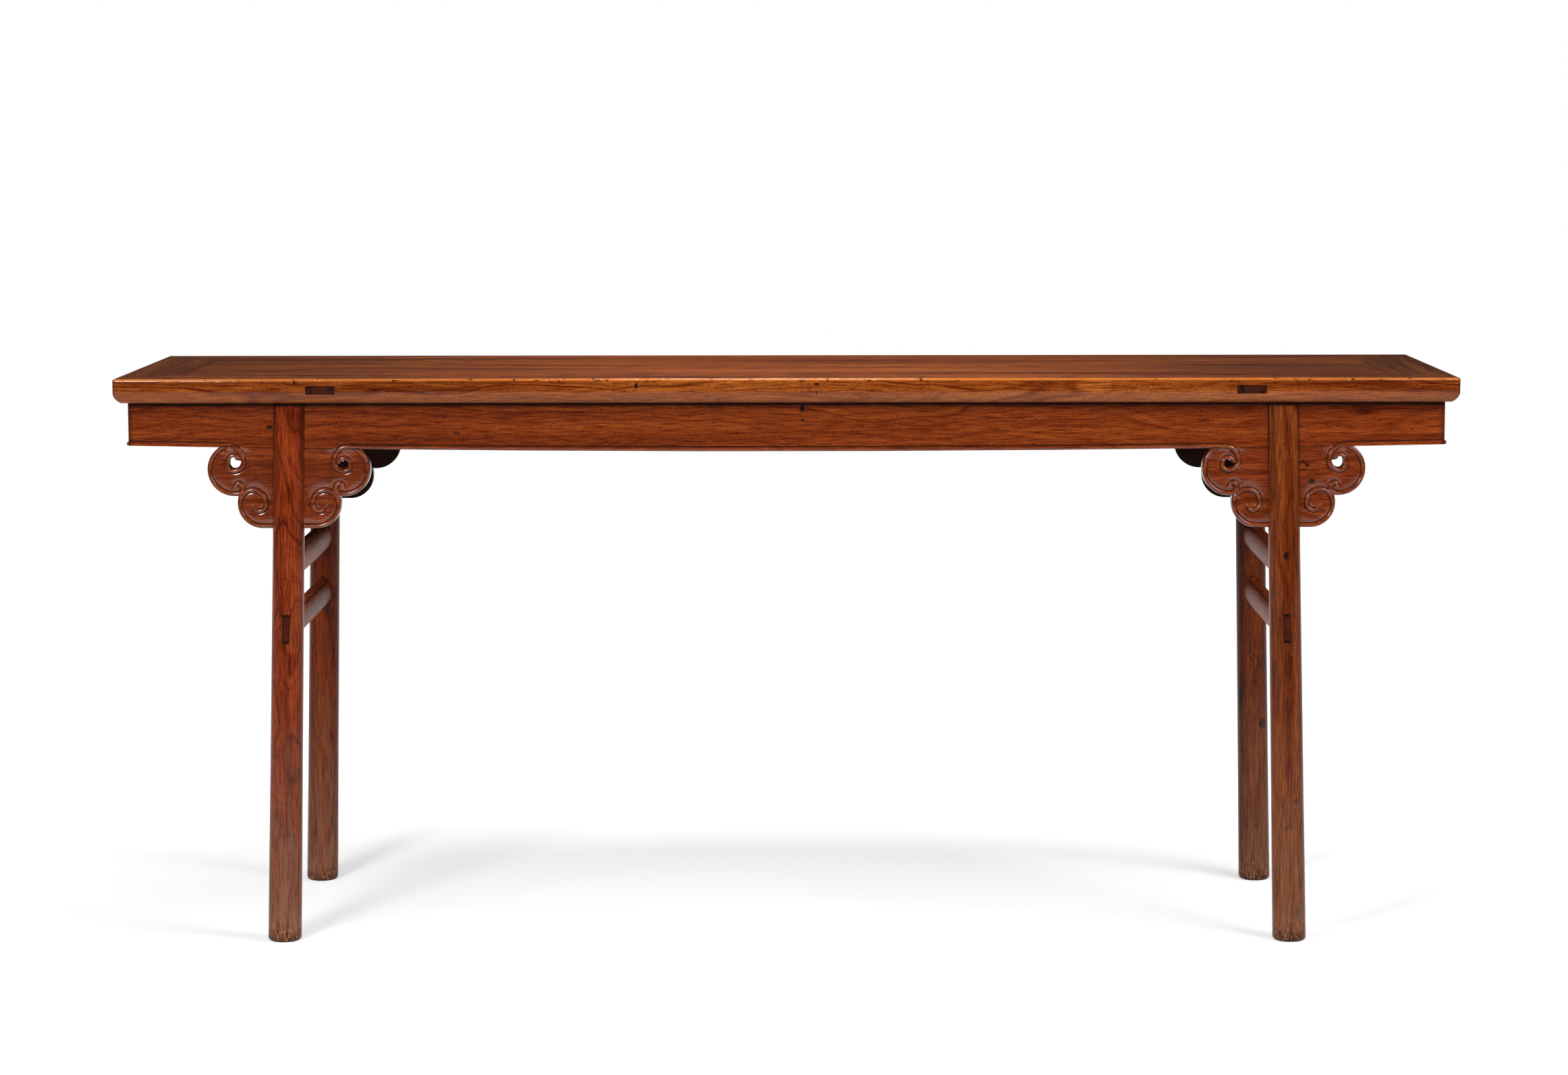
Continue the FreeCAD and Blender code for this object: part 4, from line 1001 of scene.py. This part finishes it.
def studio_world():
    """White backdrop to the eye; polish mirrors it white low down behind the table and dim elsewhere."""
    world = bpy.data.worlds.new("studio")
    tree = empty_tree(world)
    towards = add(tree, "TexCoord", out="Generated")
    low = add(tree, "VectorMath", {0: towards, 1: (0, 0.12, -1)}, "DOT_PRODUCT")
    cove = add(tree, "MapRange", {"Value": low, 1: 0.115, 2: 0.14, 3: 0.06, 4: 1.0})
    rays = add(tree, "LightPath").node.outputs
    level = add(tree, "Mix", {0: mirrored_rays(tree, rays), 2: 0.2, 3: cove})
    level = add(tree, "Math", {0: level, 1: rays["Is Camera Ray"]}, "MAXIMUM")
    sky = add(tree, "Background", {"Color": (1, 1, 1, 1), "Strength": level})
    add(tree, "OutputWorld", {"Surface": sky})
    return world


class TABLE_OT_set_stage(bpy.types.Operator):
    """Lay the floor, hang the lamps and place the camera"""

    bl_idname = "table.set_stage"
    bl_label = "Set stage"

    def execute(self, context):
        scene = context.scene
        stage = scene.table_stage
        scene.view_settings.view_transform = "Standard"

        mesh = bpy.data.meshes.new("floor")
        mesh.from_pydata(FLOOR, [], [(0, 1, 2, 3)])
        mesh.materials.append(pale_floor(stage.floor_colour))
        floor = bpy.data.objects.new("floor", mesh)
        scene.collection.objects.link(floor)

        for name, (place, aim, size, setting) in LAMPS.items():
            soft_lamp(name, place, aim, size, getattr(stage, setting))
        scene.world = studio_world()

        pitch, yaw, roll = CAMERA_TURN
        forward = Vector((math.sin(yaw) * math.cos(pitch), math.cos(yaw) * math.cos(pitch), -math.sin(pitch)))
        right = Vector((math.cos(yaw), -math.sin(yaw), 0))
        up = right.cross(forward)
        right, up = right * math.cos(roll) + up * math.sin(roll), up * math.cos(roll) - right * math.sin(roll)
        lens = bpy.data.cameras.new("camera")
        lens.sensor_fit = "HORIZONTAL"
        lens.lens, lens.sensor_width = CAMERA_LENS
        camera = bpy.data.objects.new("camera", lens)
        turn = Matrix((right, up, -forward)).transposed().to_4x4()
        camera.matrix_world = Matrix.Translation(CAMERA_PLACE) @ turn
        scene.collection.objects.link(camera)
        scene.camera = camera
        return {"FINISHED"}


class TABLE_PT_workshop(bpy.types.Panel):
    """Sizes, colours and steps of the table's looks"""

    bl_label = "Painting table"
    bl_idname = "TABLE_PT_workshop"
    bl_space_type = "VIEW_3D"
    bl_region_type = "UI"
    bl_category = "Table"

    def draw(self, context):
        for group, steps in STEPS.items():
            box = self.layout.box()
            for name in getattr(context.scene, group).bl_rna.properties.keys()[2:]:
                box.prop(getattr(context.scene, group), name)
            for step in steps:
                box.operator(step)


STEPS = {
    "table_carving": ("table.carve_spandrels",),
    "table_finish": ("table.finish_top", "table.finish_aprons", "table.finish_legs"),
    "table_stage": ("table.set_stage",),
}
GROUPS = {"table_carving": TableCarving, "table_finish": TableFinish, "table_stage": TableStage}
CLASSES = (
    *GROUPS.values(),
    TABLE_OT_carve_spandrels,
    TABLE_OT_finish_top,
    TABLE_OT_finish_aprons,
    TABLE_OT_finish_legs,
    TABLE_OT_set_stage,
    TABLE_PT_workshop,
)


def register():
    """Add the classes and their settings to Blender."""
    for cls in CLASSES:
        bpy.utils.register_class(cls)
    for name, group in GROUPS.items():
        setattr(bpy.types.Scene, name, PointerProperty(type=group))


def unregister():
    """Take them out again."""
    for name in GROUPS:
        delattr(bpy.types.Scene, name)
    for cls in reversed(CLASSES):
        bpy.utils.unregister_class(cls)


def main():
    """Run every step in order."""
    register()
    bpy.ops.table.carve_spandrels()
    bpy.ops.table.finish_top()
    bpy.ops.table.finish_aprons()
    bpy.ops.table.finish_legs()
    bpy.ops.table.set_stage()


if __name__ == "__main__":
    main()
